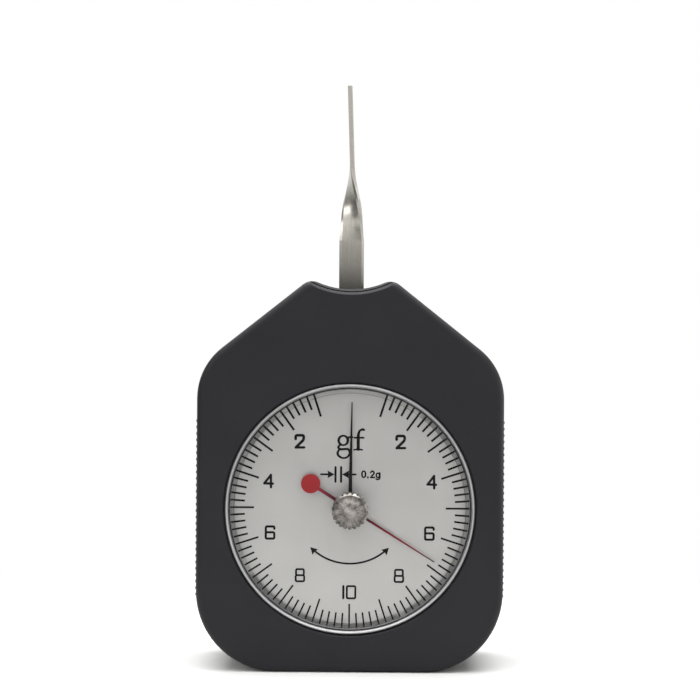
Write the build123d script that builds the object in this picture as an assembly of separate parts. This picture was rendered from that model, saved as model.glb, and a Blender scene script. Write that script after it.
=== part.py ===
from build123d import *
import math
import os

# A pocket dial tension gauge. Millimetres and degrees.
# +X is to the right of the dial, +Y runs from the dial to the back and +Z runs up to the feeler.
# The origin is the centre of the flat base, halfway through the depth of the case.

# Shared clearances
fit_gap = 0.05
running_gap = 0.1
open_gap = 0.3
overrun = 1.0

# Case outline
case_width = 62.0
ring_side_margin = 5.85
ring_base_margin = 7.75
base_radius = 16.25
shoulder_radius = 13.0
shoulder_slope = 38.4
crown_half_width = 7.9
crown_radius = 3.0
notch_depth = 1.6
edge_radius = 1.4
parting_bevel = 0.25
lip_width = 1.15
lip_depth = 1.35
seam_groove_inset = 0.4
seam_groove_width = 0.22
seam_groove_depth = 1.5

# Case walls
case_wall = 2.2
top_wall = 2.3
cavity_corner_radius = 1.5
slot_width = 3.2
holder_head_room = 3.6

# Side grips
grip_length = 36.4
rib_pitch = 1.3
rib_base = 0.9
rib_crest = 0.35
rib_height = 0.2
grip_front_margin = 2.2
grip_back_margin = 0.8

# Rear cover
cover_depth = 4.0
cover_wall = 2.4
cover_tongue_height = 1.5
cover_tongue_wall = 1.2
cover_pad_radius = 3.0

# Cover screws and their bosses
boss_radius = 2.8
boss_side_inset = 6.5
boss_dial_gap = 1.7
cover_screw_radius = 1.25
cover_screw_head_radius = 2.3
cover_screw_head_depth = 1.1
cover_screw_length = 10.0

# Bezel ring and crystal
ring_width = 0.6
ring_recess = 0.05
ring_bevel = 0.2
window_bevel = 0.2
window_rebate_width = 0.3
window_rebate_depth = 0.9
crystal_recess = 0.1
crystal_thickness = 1.0
skirt_width = 1.05
crystal_bevel = 0.3

# Dial plate
dial_margin = 0.7
dial_thickness = 0.5
dial_hole_radius = 1.5
dial_foot_radius = 0.6
dial_foot_offset = 12.0

# Crystal bush, stem and reset knob
bush_bore_radius = 0.85
bush_body_radius = 1.5
bush_flange_radius = 2.4
bush_flange_height = 0.3
bush_rim_radius = 2.0
bush_rim_height = 0.2
washer_radius = 2.2
washer_thickness = 0.25
knob_radius = 3.65
knob_height = 3.75
knob_edge = 0.45
knob_boss_radius = 1.35
knob_boss_height = 0.15
knob_rim_width = 1.05
knurl_count = 22
knurl_width = 0.62
knurl_sink = 0.1

# Pointers
pointer_thickness = 0.25
pointer_gap = 0.4
pointer_lean = 0.8
pointer_root_width = 0.85
pointer_tip_width = 0.2
pointer_tip_gap = 1.9
pointer_tail_length = 3.3
pointer_hub_radius = 1.2
pointer_hub_height = 0.4
pointer_disc_radius = 1.6
peak_tip_gap = 3.2
peak_root_width = 0.6
peak_tail_width = 0.65
peak_disc_radius = 1.95
peak_disc_offset = 9.4
peak_hub_radius = 1.5
peak_angle = 122.0
drive_pin_radius = 0.25
drive_pin_offset = 2.6

# Movement plates, pillars and screws
plate_thickness = 1.2
plate_side_gap = 0.7
plate_corner_radius = 3.4
plate_edge_margin = 3.0
plate_head_room = 4.9
pillar_radius = 1.75
pillar_side_inset = 5.5
pillar_rise = 6.4
pillar_top_drop = 0.6
plate_screw_radius = 0.8
plate_screw_head_radius = 1.5
plate_screw_head_height = 0.9
pillar_screw_length = 4.0
mount_screw_radius = 1.0
mount_screw_head_radius = 1.9
mount_screw_head_height = 1.2
mount_screw_bite = 2.0
mount_pad_radius = 2.2

# Gears between lever and pointer
gear_module = 0.3
sector_teeth = 160
pinion_teeth = 10
pressure_angle = 20.0
profile_shift = 0.4
addendum_share = 0.8
dedendum_share = 1.25
gear_backlash = 0.04
sector_cut_teeth = 16
sector_thickness = 1.6
sector_rim_width = 3.2
sector_arm_width = 5.0
sector_hub_step = 0.5
pinion_overhang = 0.4

# Pointer arbor and its bushes
arbor_radius = 0.9
arbor_front_radius = 0.5
arbor_pivot_radius = 0.4
bush_wall = 1.0
bush_flange_overhang = 0.6
bush_flange_thickness = 0.4

# Lever arbor, holder and feeler
swing = 11.25
lever_arbor_radius = 1.5
lever_pivot_radius = 0.7
holder_radius = 3.2
holder_front_reach = 3.0
holder_back_reach = 2.0
holder_width = 5.2
holder_top = 12.9
tail_width = 3.6
tail_thickness = 1.2
tail_end_margin = 1.2
feeler_width = 5.15
feeler_thickness = 1.0
feeler_bevel_width = 0.5
feeler_bevel_depth = 0.2
feeler_neck_width = 4.5
feeler_tip_width = 3.6
feeler_foot = 4.4
strip_rise = 9.0
neck_length = 3.6
twist_length = 16.6
blade_length = 15.5
twist_steps = 6
blade_lean = 2.0
clamp_thickness = 1.0
clamp_margin = 0.3
clamp_screw_radius = 0.8
clamp_screw_head_radius = 1.5
clamp_screw_head_height = 0.9
clamp_screw_spacing = 4.4
stop_pin_radius = 0.75
stop_pin_rim_gap = 2.8
stop_pin_reach = 3.8

# Leaf spring
leaf_thickness = 0.18
leaf_width = 3.0
leaf_plate_gap = 1.2
leaf_tail_gap = 0.6
leaf_rise = 6.0
leaf_overlap = 1.2
spring_pin_radius = 0.45
spring_pin_drop = 8.3
spring_pin_gap = 0.04
block_half_width = 2.6
block_foot = 0.8
block_height = 5.0
block_depth = 4.2
block_screw_radius = 0.55
block_screw_side = 1.5
block_screw_head_radius = 1.0
block_screw_head_depth = 0.45
block_screw_length = 4.0

# Hairspring
collet_radius = 1.7
collet_standoff = 4.9
collet_height = 1.1
hairspring_thickness = 0.12
hairspring_width = 0.5
hairspring_pitch = 0.9
hairspring_half_turns = 10
stud_radius = 0.7

# Levels along the depth, worked out from the middle of the feeler to both sides
holder_front = -holder_front_reach
holder_back = holder_back_reach
leaf_back = holder_front - leaf_tail_gap
leaf_front = leaf_back - leaf_width
front_plate_back = leaf_front - leaf_plate_gap
dial_back = front_plate_back - plate_thickness
dial_front = dial_back - dial_thickness
pointer_back = dial_front - running_gap - pointer_hub_height
pointer_front = pointer_back - pointer_thickness
peak_back = pointer_front - pointer_gap
peak_front = peak_back - pointer_thickness
peak_hub_front = peak_front - pointer_thickness
crystal_back = peak_hub_front - fit_gap - bush_rim_height
crystal_front = crystal_back - crystal_thickness
face = crystal_front - crystal_recess
washer_back = crystal_front - bush_flange_height
knob_back = washer_back - washer_thickness
knob_front = knob_back - knob_height
collet_front = front_plate_back + collet_standoff
flange_front_back = front_plate_back + bush_flange_thickness
sector_front = holder_back + sector_hub_step
sector_back = sector_front + sector_thickness
flange_back_front = sector_back + pinion_overhang + running_gap
back_plate_front = flange_back_front + bush_flange_thickness
back_plate_back = back_plate_front + plate_thickness
cover_back = -face
split = cover_back - cover_depth

# Radii in the window
ring_outer_radius = case_width / 2 - ring_side_margin
window_radius = ring_outer_radius + fit_gap
crystal_radius = ring_outer_radius - ring_width - running_gap
skirt_radius = crystal_radius - skirt_width
dial_radius = window_radius + dial_margin
knob_dish_radius = knob_radius - knob_rim_width
pointer_length = skirt_radius - pointer_tip_gap
peak_length = skirt_radius - peak_tip_gap

# Heights, worked out from the base up to the tip of the feeler
dial_height = ring_base_margin + ring_outer_radius
center_distance = gear_module * (sector_teeth + pinion_teeth) / 2
lever_height = dial_height + center_distance
case_height = lever_height + holder_top + holder_head_room + top_wall + notch_depth
twist_start = case_height + strip_rise
twist_end = twist_start + twist_length
feeler_tip_height = twist_end + blade_length
sector_radius = gear_module * sector_teeth / 2
stop_pin_drop = sector_radius - sector_rim_width - stop_pin_rim_gap
spring_pin_height = lever_height - spring_pin_drop
leaf_bottom = dial_height + leaf_rise
leaf_top = spring_pin_height + leaf_overlap
block_bottom = leaf_bottom - block_foot

# Line of the case
notch_radius = (crown_half_width**2 + notch_depth**2) / (2 * notch_depth) - crown_radius
notch_center = case_height - notch_depth + notch_radius
crown_center = case_height - crown_radius
slope_sin = math.sin(math.radians(shoulder_slope))
slope_cos = math.cos(math.radians(shoulder_slope))
shoulder_side = case_width / 2 - shoulder_radius
shoulder_center = (
    crown_center
    + (crown_half_width - shoulder_side) * slope_sin / slope_cos
    + (crown_radius - shoulder_radius) / slope_cos
)
slot_half_width = (
    (case_height - lever_height) * math.tan(math.radians(swing))
    + feeler_width / 2 / math.cos(math.radians(swing))
    + open_gap
)

# Places of the bosses, the mounting screws and the movement plates
boss_side = case_width / 2 - boss_side_inset
boss_offset = math.sqrt((dial_radius + boss_dial_gap + boss_radius) ** 2 - boss_side**2)
plate_half_width = boss_side - boss_radius - plate_side_gap
mount_side = plate_half_width - plate_edge_margin
mount_offset = math.sqrt((dial_radius + open_gap + mount_pad_radius) ** 2 - mount_side**2)
plate_bottom = dial_height - mount_offset - plate_edge_margin
plate_top = lever_height + plate_head_room
pillar_side = mount_side - pillar_side_inset
pillar_low = plate_bottom + pillar_rise
pillar_high = lever_height - pillar_top_drop
back_plate_half_width = pillar_side + plate_edge_margin
back_plate_bottom = pillar_low - plate_edge_margin


# Shape helpers


def slab(outline, front, back):
    """A flat outline drawn as (x, height), given depth between two levels."""
    return extrude(Plane.XZ.offset(-back) * outline, amount=back - front)


def rod(radius, front, back, x=0, height=0):
    """A round bar along the depth."""
    return slab(Pos(x, height) * Circle(radius), front, back)


def turned(profile, x, height):
    """A body turned about an axis along the depth, from (radius, level) points."""
    ring = make_face(Polyline(*profile, close=True))
    return Pos(x, 0, height) * revolve(ring, Axis.Y)


def rounded_plate(half_width, bottom, top, radius):
    """A rectangular outline with round corners."""
    middle = (bottom + top) / 2
    return Pos(0, middle) * RectangleRounded(2 * half_width, top - bottom, radius)


def group(solids):
    """Separate solids that share one node."""
    return Compound(children=list(solids))


def four_places(side, low, high):
    """Two places on each side, at a low and a high level."""
    return [(x, height) for height in (low, high) for x in (-side, side)]


# Case


def case_outline():
    """The outer line of the case: arcs joined by tangent straights."""
    turn = math.degrees(math.asin(crown_half_width / (notch_radius + crown_radius)))
    base = CenterArc((case_width / 2 - base_radius, base_radius), base_radius, -90, 90)
    shoulder = CenterArc((shoulder_side, shoulder_center), shoulder_radius, 0, 90 - shoulder_slope)
    crown = CenterArc(
        (crown_half_width, crown_center), crown_radius, 90 - shoulder_slope, shoulder_slope + turn
    )
    notch = CenterArc((0, notch_center), notch_radius, -90, turn)
    right = [
        Line((0, 0), base @ 0),
        base,
        Line(base @ 1, shoulder @ 0),
        shoulder,
        Line(shoulder @ 1, crown @ 0),
        crown,
        notch,
    ]
    left = [edge.mirror(Plane.YZ) for edge in right]
    return make_face(right + left)


def cavity_outline(wall):
    """The inner line of the case, which runs straight across under the notch."""
    half = case_width / 2 - wall
    top = case_height - notch_depth - top_wall
    reach = slope_sin * shoulder_side + slope_cos * shoulder_center + shoulder_radius - wall
    side_top = (reach - slope_sin * half) / slope_cos
    top_half = (reach - slope_cos * top) / slope_sin
    right = [(half, wall), (half, side_top), (top_half, top)]
    left = [(-x, height) for x, height in reversed(right)]
    radii = [base_radius - wall, shoulder_radius - wall, cavity_corner_radius]
    return make_face(FilletPolyline(*right, *left, radius=radii + radii[::-1], close=True))


def boss_places():
    """Where the four cover screws stand, just outside the dial."""
    return four_places(boss_side, dial_height - boss_offset, dial_height + boss_offset)


def mount_places():
    """Where the movement is screwed to the front wall, just outside the dial."""
    return four_places(mount_side, dial_height - mount_offset, dial_height + mount_offset)


def side_reach(height):
    """How far the side of the case stands out at a height, round corners included."""
    low = max(0, base_radius - height)
    high = max(0, height - shoulder_center)
    base_loss = base_radius - math.sqrt(base_radius**2 - low**2)
    shoulder_loss = shoulder_radius - math.sqrt(shoulder_radius**2 - high**2)
    return case_width / 2 - base_loss - shoulder_loss


def grip_ribs():
    """Low ribs across both sides of the case."""
    count = round(grip_length / rib_pitch)
    ribs = []
    for index in range(count):
        height = dial_height + (index - (count - 1) / 2) * rib_pitch
        reach = side_reach(height)
        for side in (-1, 1):
            profile = Polyline(
                (side * (reach - rib_height), height - rib_base / 2),
                (side * reach, height - rib_base / 2),
                (side * (reach + rib_height), height - rib_crest / 2),
                (side * (reach + rib_height), height + rib_crest / 2),
                (side * reach, height + rib_base / 2),
                (side * (reach - rib_height), height + rib_base / 2),
                close=True,
            )
            ribs.append(slab(make_face(profile), face + grip_front_margin, split - grip_back_margin))
    return ribs


def front_case():
    """Moulded shell with the window, the feeler slot, bosses and grips."""
    body = slab(case_outline(), face, split)
    body = fillet(body.faces().sort_by(Axis.Y)[0].edges(), edge_radius)
    body = chamfer(body.faces().sort_by(Axis.Y)[-1].edges(), parting_bevel)
    body += grip_ribs()
    body -= slab(cavity_outline(case_wall), dial_front, split + overrun)
    for x, height in boss_places():
        body += rod(boss_radius, dial_front - overrun, split, x, height)
    for x, height in mount_places():
        body += rod(mount_pad_radius, dial_front - overrun, dial_back, x, height)
    body -= rod(window_radius, face - overrun, dial_front + overrun, height=dial_height)
    rim_radius = window_radius + window_rebate_width
    body -= turned(
        [
            (0, face - overrun),
            (rim_radius + window_bevel + overrun, face - overrun),
            (rim_radius, face + window_bevel),
            (rim_radius, face + window_rebate_depth),
            (0, face + window_rebate_depth),
        ],
        0,
        dial_height,
    )
    body -= turned(
        [
            (notch_radius, face - overrun),
            (notch_radius + lip_width, face - overrun),
            (notch_radius + lip_width, face),
            (notch_radius, face + lip_depth),
        ],
        0,
        notch_center,
    )
    seam_radius = notch_radius + seam_groove_inset
    seam = Circle(seam_radius + seam_groove_width) - Circle(seam_radius)
    body -= slab(Pos(0, notch_center) * seam, face - overrun, face + seam_groove_depth)
    slot_floor = case_height - notch_depth - top_wall - overrun
    slot_height = case_height + overrun - slot_floor
    slot = Rectangle(2 * slot_half_width, slot_height)
    body -= slab(Pos(0, slot_floor + slot_height / 2) * slot, -slot_width / 2, slot_width / 2)
    screw_end = cover_back - cover_screw_length - open_gap
    for x, height in boss_places():
        body -= rod(cover_screw_radius, screw_end, split + overrun, x, height)
    mount_end = dial_back - mount_screw_bite - open_gap
    for x, height in mount_places():
        body -= rod(mount_screw_radius, mount_end, dial_back + overrun, x, height)
    return body


def rear_cover():
    """Flat back with a tongue inside the case and four countersunk holes."""
    body = slab(case_outline(), split, cover_back)
    body = fillet(body.faces().sort_by(Axis.Y)[-1].edges(), edge_radius)
    body = chamfer(body.faces().sort_by(Axis.Y)[0].edges(), parting_bevel)
    tongue_outer = case_wall + fit_gap
    tongue_inner = tongue_outer + cover_tongue_wall
    body += slab(cavity_outline(tongue_outer), split - cover_tongue_height, split)
    body -= slab(cavity_outline(tongue_inner), split - cover_tongue_height - overrun, cover_back - cover_wall)
    pads = [rod(cover_pad_radius, split, cover_back - cover_wall, x, height) for x, height in boss_places()]
    body += pads
    relief = boss_radius + open_gap
    for x, height in boss_places():
        body -= rod(relief, split - cover_tongue_height - overrun, split, x, height)
        body -= countersink(x, height)
    return body


def countersink(x, height):
    """The hole in the cover for one screw."""
    shank = cover_screw_radius + running_gap
    return turned(
        [
            (0, split - overrun),
            (shank, split - overrun),
            (shank, cover_back - cover_screw_head_depth),
            (cover_screw_head_radius, cover_back),
            (cover_screw_head_radius, cover_back + overrun),
            (0, cover_back + overrun),
        ],
        x,
        height,
    )


def cover_screws():
    """Four countersunk screws from the back."""
    return group(
        turned(
            [
                (0, cover_back - cover_screw_length),
                (cover_screw_radius, cover_back - cover_screw_length),
                (cover_screw_radius, cover_back - cover_screw_head_depth - fit_gap),
                (cover_screw_head_radius - fit_gap, cover_back - fit_gap),
                (0, cover_back - fit_gap),
            ],
            x,
            height,
        )
        for x, height in boss_places()
    )


# Window


def bezel_ring():
    """Bright ring in the window, bevelled in front and standing on the dial."""
    inner = ring_outer_radius - ring_width
    front = face + ring_recess
    return turned(
        [
            (inner, dial_front),
            (inner, front + ring_bevel),
            (inner + ring_bevel, front),
            (ring_outer_radius - ring_bevel, front),
            (ring_outer_radius, front + ring_bevel),
            (ring_outer_radius, dial_front),
        ],
        0,
        dial_height,
    )


def crystal():
    """Clear cover with a skirt that stands on the dial."""
    return turned(
        [
            (bush_body_radius, crystal_front),
            (crystal_radius - crystal_bevel, crystal_front),
            (crystal_radius, crystal_front + crystal_bevel),
            (crystal_radius, dial_front),
            (skirt_radius, dial_front),
            (skirt_radius, crystal_back),
            (bush_body_radius, crystal_back),
        ],
        0,
        dial_height,
    )


def crystal_bush():
    """Flanged bush riveted into the crystal, in which the stem turns."""
    return turned(
        [
            (bush_bore_radius, washer_back),
            (bush_flange_radius, washer_back),
            (bush_flange_radius, crystal_front),
            (bush_body_radius, crystal_front),
            (bush_body_radius, crystal_back),
            (bush_rim_radius, crystal_back),
            (bush_rim_radius, crystal_back + bush_rim_height),
            (bush_bore_radius, crystal_back + bush_rim_height),
        ],
        0,
        dial_height,
    )


def dial_plate():
    """Printed disc with two feet that stop it from turning."""
    disc = Circle(dial_radius) - Circle(dial_hole_radius)
    body = slab(Pos(0, dial_height) * disc, dial_front, dial_back)
    for side in (-1, 1):
        body += rod(dial_foot_radius, dial_back, front_plate_back, side * dial_foot_offset, dial_height)
    return body


# Peak pointer and reset knob


def reset_knob():
    """Knurled knob with a dished front and a small raised boss."""
    inner = bush_bore_radius - fit_gap
    body = turned(
        [
            (inner, knob_back),
            (knob_radius - knob_edge, knob_back),
            (knob_radius, knob_back - knob_edge),
            (knob_radius, knob_front + knob_edge),
            (knob_radius - knob_edge, knob_front),
            (knob_dish_radius, knob_front),
            (knob_boss_radius, knob_front + knob_boss_height),
            (knob_boss_radius, knob_front),
            (inner, knob_front),
        ],
        0,
        dial_height,
    )
    grooves = []
    for index in range(knurl_count):
        angle = 360 * index / knurl_count
        place = Rot(0, 0, angle) * Pos(knob_radius + knurl_sink, 0) * Rot(0, 0, 45)
        groove = Pos(0, dial_height) * place * Rectangle(knurl_width, knurl_width)
        grooves.append(slab(groove, knob_front - overrun, knob_back + overrun))
    return body - grooves


def knob_stem():
    """Steel stem through the bush, from the knob to the peak pointer."""
    return rod(bush_bore_radius - fit_gap, knob_front, peak_back, height=dial_height)


def friction_washer():
    """Washer between the knob and the bush that holds a reading."""
    ring = Circle(washer_radius) - Circle(bush_bore_radius)
    return slab(Pos(0, dial_height) * ring, knob_back, washer_back)


def on_peak(outline):
    """Turns an outline drawn pointing up to the angle of the peak pointer."""
    return Pos(0, dial_height) * Rot(0, 0, -peak_angle) * outline


def peak_pointer():
    """Flat needle with a round plate on its tail."""
    half = peak_root_width / 2
    tip = pointer_tip_width / 2
    needle = make_face(Polyline((-half, 0), (half, 0), (tip, peak_length), (-tip, peak_length), close=True))
    tail = Pos(0, -peak_disc_offset / 2) * Rectangle(peak_tail_width, peak_disc_offset)
    disc = Pos(0, -peak_disc_offset) * Circle(peak_disc_radius)
    outline = needle + tail + disc + Circle(pointer_disc_radius) - Circle(bush_bore_radius - fit_gap)
    return slab(on_peak(outline), peak_front, peak_back)


def peak_hub():
    """Collar that holds the peak pointer on the stem, under the bush."""
    ring = Circle(peak_hub_radius) - Circle(bush_bore_radius - fit_gap)
    return slab(Pos(0, dial_height) * ring, peak_hub_front, peak_front)


def drive_pin():
    """Pin that the main pointer pushes round."""
    return slab(
        on_peak(Pos(0, drive_pin_offset) * Rectangle(2 * drive_pin_radius, 2 * drive_pin_radius)),
        peak_back,
        pointer_front - running_gap,
    )


# Main pointer and its arbor


def main_pointer():
    """Flat needle that rests a shade past zero, with a short tail under the knob."""
    half = pointer_root_width / 2
    tip = pointer_tip_width / 2
    needle = Polyline(
        (-half, -pointer_tail_length),
        (half, -pointer_tail_length),
        (half, 0),
        (tip, pointer_length),
        (-tip, pointer_length),
        (-half, 0),
        close=True,
    )
    outline = make_face(needle) + Circle(pointer_disc_radius) - Circle(arbor_front_radius)
    return slab(Pos(0, dial_height) * Rot(0, 0, -pointer_lean) * outline, pointer_front, pointer_back)


def pointer_hub():
    """Collar behind the main pointer."""
    ring = Circle(pointer_hub_radius) - Circle(arbor_front_radius)
    return slab(Pos(0, dial_height) * ring, pointer_back, dial_front - running_gap)


def pointer_arbor():
    """Stepped arbor that carries the main pointer and the pinion."""
    shoulder_front = flange_front_back + running_gap
    shoulder_back = flange_back_front - running_gap
    return turned(
        [
            (0, pointer_front),
            (arbor_front_radius, pointer_front),
            (arbor_front_radius, shoulder_front),
            (arbor_radius, shoulder_front),
            (arbor_radius, shoulder_back),
            (arbor_pivot_radius, shoulder_back),
            (arbor_pivot_radius, back_plate_back),
            (0, back_plate_back),
        ],
        0,
        dial_height,
    )


def plate_bush(bore, plate_front, plate_back, flange_level, height):
    """A bush through one plate, with its flange on the inner side."""
    body = bore + bush_wall
    flange = body + bush_flange_overhang
    levels = sorted((plate_front, plate_back, flange_level))
    inner_first = flange_level < plate_front
    step = plate_front if inner_first else plate_back
    front_radius = flange if inner_first else body
    back_radius = body if inner_first else flange
    return turned(
        [
            (bore, levels[0]),
            (front_radius, levels[0]),
            (front_radius, step),
            (back_radius, step),
            (back_radius, levels[-1]),
            (bore, levels[-1]),
        ],
        0,
        height,
    )


def bush_pair(front_pivot, back_pivot, height):
    """The front and back bushes of one arbor."""
    return group(
        [
            plate_bush(front_pivot + fit_gap, dial_back, front_plate_back, flange_front_back, height),
            plate_bush(back_pivot + fit_gap, back_plate_front, back_plate_back, flange_back_front, height),
        ]
    )


# Gears


def involute(angle):
    """The involute function of a pressure angle in radians."""
    return math.tan(angle) - angle


def polar(radius, angle):
    """A point at a radius and an angle in radians."""
    return (radius * math.cos(angle), radius * math.sin(angle))


def tooth_edges(teeth, shift, center_angle):
    """The two flanks and the tip of one tooth, in order, as edges."""
    pitch = gear_module * teeth / 2
    pressure = math.radians(pressure_angle)
    base = pitch * math.cos(pressure)
    thickness = gear_module * (math.pi / 2 + 2 * shift * math.tan(pressure)) - gear_backlash
    root = pitch + gear_module * (shift - dedendum_share)
    tip = pitch + gear_module * (shift + addendum_share)
    start = max(base, root)

    def half_angle(radius):
        local = math.acos(min(1, base / radius))
        return thickness / (2 * pitch) + involute(pressure) - involute(local)

    middle = (start + tip) / 2
    flanks = []
    for side in (-1, 1):
        radii = (start, middle, tip)
        flanks.append([polar(radius, center_angle + side * half_angle(radius)) for radius in radii])
    rising = ThreePointArc(*flanks[0])
    falling = ThreePointArc(*reversed(flanks[1]))
    foot_before = polar(root, center_angle - half_angle(start))
    foot_after = polar(root, center_angle + half_angle(start))
    edges = [rising, Line(rising @ 1, falling @ 0), falling]
    if start > root:
        edges = [Line(foot_before, rising @ 0)] + edges + [Line(falling @ 1, foot_after)]
    return edges


def toothed_chain(teeth, shift, angles):
    """Teeth at the given angles joined by short root lines."""
    chain = []
    for angle in angles:
        edges = tooth_edges(teeth, shift, angle)
        if chain:
            chain.append(Line(chain[-1] @ 1, edges[0] @ 0))
        chain += edges
    return chain


def pinion():
    """Ten-leaf pinion on the pointer arbor, with one leaf straight up."""
    step = 2 * math.pi / pinion_teeth
    angles = [math.pi / 2 + index * step for index in range(pinion_teeth)]
    chain = toothed_chain(pinion_teeth, profile_shift, angles)
    chain.append(Line(chain[-1] @ 1, chain[0] @ 0))
    outline = make_face(chain) - Circle(arbor_radius)
    return slab(Pos(0, dial_height) * outline, sector_front - pinion_overhang, sector_back + pinion_overhang)


def sector_gear():
    """Toothed sector on a central arm, with a hub on the lever arbor."""
    step = 2 * math.pi / sector_teeth
    first = -math.pi / 2 - (sector_cut_teeth - 1) / 2 * step
    angles = [first + index * step for index in range(sector_cut_teeth)]
    chain = toothed_chain(sector_teeth, -profile_shift, angles)
    inner = sector_radius - sector_rim_width
    left = polar(inner, angles[0] - step / 2)
    right = polar(inner, angles[-1] + step / 2)
    inner_arc = ThreePointArc(right, (0, -inner), left)
    chain += [Line(chain[-1] @ 1, right), inner_arc, Line(left, chain[0] @ 0)]
    arm = Pos(0, -(inner + gear_module) / 2) * Rectangle(sector_arm_width, inner + gear_module)
    outline = make_face(chain) + arm + Circle(holder_radius) - Circle(lever_arbor_radius)
    plate = slab(Pos(0, lever_height) * outline, sector_front, sector_back)
    ring = Circle(holder_radius) - Circle(lever_arbor_radius)
    hub = slab(Pos(0, lever_height) * ring, holder_back, sector_front)
    return plate + hub


# Lever and feeler


def lever_arbor():
    """Arbor that the feeler, its holder and the sector turn on."""
    shoulder_front = flange_front_back + running_gap
    shoulder_back = flange_back_front - running_gap
    return turned(
        [
            (0, dial_back + running_gap),
            (lever_pivot_radius, dial_back + running_gap),
            (lever_pivot_radius, shoulder_front),
            (lever_arbor_radius, shoulder_front),
            (lever_arbor_radius, shoulder_back),
            (lever_pivot_radius, shoulder_back),
            (lever_pivot_radius, back_plate_back - running_gap),
            (0, back_plate_back - running_gap),
        ],
        0,
        lever_height,
    )


def clamp_heights():
    """Heights of the two clamp screws."""
    middle = lever_height + (feeler_foot + holder_top) / 2
    return (middle - clamp_screw_spacing / 2, middle + clamp_screw_spacing / 2)


def feeler_holder():
    """Hub with an arm behind the feeler and a tail down to the leaf spring."""
    body = rod(holder_radius, holder_front, holder_back, height=lever_height)
    arm = Pos(0, lever_height + holder_top / 2) * Rectangle(holder_width, holder_top)
    body += slab(arm, feeler_thickness / 2, holder_back)
    tail_reach = spring_pin_drop + tail_end_margin
    tail_back = holder_front + tail_thickness
    tail = Pos(0, lever_height - tail_reach / 2) * Rectangle(tail_width, tail_reach)
    body += slab(tail, holder_front, tail_back)
    body -= rod(lever_arbor_radius, holder_front - overrun, holder_back + overrun, height=lever_height)
    for height in clamp_heights():
        body -= rod(clamp_screw_radius, -overrun, holder_back + overrun, height=height)
    for x in spring_pin_sides():
        body -= rod(spring_pin_radius, holder_front - overrun, tail_back + overrun, x, spring_pin_height)
    return body


def strip_section(height, width, turn, shift):
    """The bevelled section of the feeler at one height, turned about its own axis."""
    half = width / 2
    depth = feeler_thickness / 2
    flat = half - feeler_bevel_width
    edge = depth - feeler_bevel_depth
    corners = [
        (-half, -edge),
        (-flat, -depth),
        (flat, -depth),
        (half, -edge),
        (half, edge),
        (flat, depth),
        (-flat, depth),
        (-half, edge),
    ]
    outline = make_face(Polyline(*corners, close=True))
    return Pos(shift, 0, height) * Rot(0, 0, turn) * outline


def feeler_turn(height):
    """How far the strip is twisted at a height: the quarter turn starts and ends gently."""
    share = min(1, max(0, (height - twist_start) / twist_length))
    return -90 * share**2 * (3 - 2 * share)


def feeler_width_at(height):
    """The width at a height: it narrows to a neck as the twist starts and then tapers to the tip."""
    neck_end = twist_start + neck_length
    neck_share = min(1, max(0, (height - twist_start) / neck_length))
    taper = (feeler_neck_width - feeler_tip_width) / (feeler_tip_height - neck_end)
    neck_loss = (feeler_width - feeler_neck_width) * neck_share
    return feeler_width - neck_loss - taper * max(0, height - neck_end)


def feeler():
    """Flat strip, twisted a quarter turn into a thin blade that leans a little."""
    foot = lever_height + feeler_foot

    def section(height):
        shift = -math.tan(math.radians(blade_lean)) * max(0, height - twist_end)
        return strip_section(height, feeler_width_at(height), feeler_turn(height), shift)

    twist_heights = [twist_start + twist_length * index / twist_steps for index in range(twist_steps + 1)]
    body = loft([section(foot), section(twist_start)], ruled=True)
    body += loft([section(height) for height in twist_heights])
    body += loft([section(twist_end), section(feeler_tip_height)], ruled=True)
    for height in clamp_heights():
        body -= rod(clamp_screw_radius + fit_gap, -feeler_thickness, feeler_thickness, height=height)
    return body


def clamp_plate():
    """Plate that presses the feeler against its holder."""
    bottom = feeler_foot + clamp_margin
    height = holder_top - bottom
    outline = Pos(0, lever_height + bottom + height / 2) * Rectangle(holder_width, height)
    back = -feeler_thickness / 2
    front = back - clamp_thickness
    body = slab(outline, front, back)
    for place in clamp_heights():
        body -= rod(clamp_screw_radius + fit_gap, front - overrun, back + overrun, height=place)
    return body


def headed_screw(radius, length, head_radius, head_height, seat, x, height, forward):
    """A flat-headed screw under whose head lies the seat level."""
    sign = -1 if forward else 1
    return turned(
        [
            (0, seat + sign * head_height),
            (head_radius, seat + sign * head_height),
            (head_radius, seat),
            (radius, seat),
            (radius, seat - sign * length),
            (0, seat - sign * length),
        ],
        x,
        height,
    )


def clamp_screws():
    """Two screws through the clamp plate and the feeler."""
    seat = -feeler_thickness / 2 - clamp_thickness
    return group(
        headed_screw(
            clamp_screw_radius,
            holder_back - seat,
            clamp_screw_head_radius,
            clamp_screw_head_height,
            seat,
            0,
            height,
            True,
        )
        for height in clamp_heights()
    )


def stop_pins():
    """Two pins in the back plate that end the swing of the sector."""
    angle = math.radians(swing)
    arm_reach = stop_pin_drop * math.sin(angle) + sector_arm_width / 2 / math.cos(angle)
    side = arm_reach + stop_pin_radius + running_gap
    height = lever_height - stop_pin_drop * math.cos(angle)
    front = back_plate_front - stop_pin_reach
    return group(rod(stop_pin_radius, front, back_plate_back, x, height) for x in (-side, side))


# Leaf spring


def spring_pin_sides():
    """Places of the two pins on either side of the leaf."""
    side = leaf_thickness / 2 + spring_pin_gap + spring_pin_radius
    return (-side, side)


def spring_pins():
    """Two pins on the holder's tail that take the free end of the leaf."""
    back = holder_front + tail_thickness
    return group(rod(spring_pin_radius, leaf_front, back, x, spring_pin_height) for x in spring_pin_sides())


def leaf_spring():
    """Thin blade that gives the measuring force."""
    outline = Pos(0, (leaf_bottom + leaf_top) / 2) * Rectangle(leaf_thickness, leaf_top - leaf_bottom)
    return slab(outline, leaf_front, leaf_back)


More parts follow.
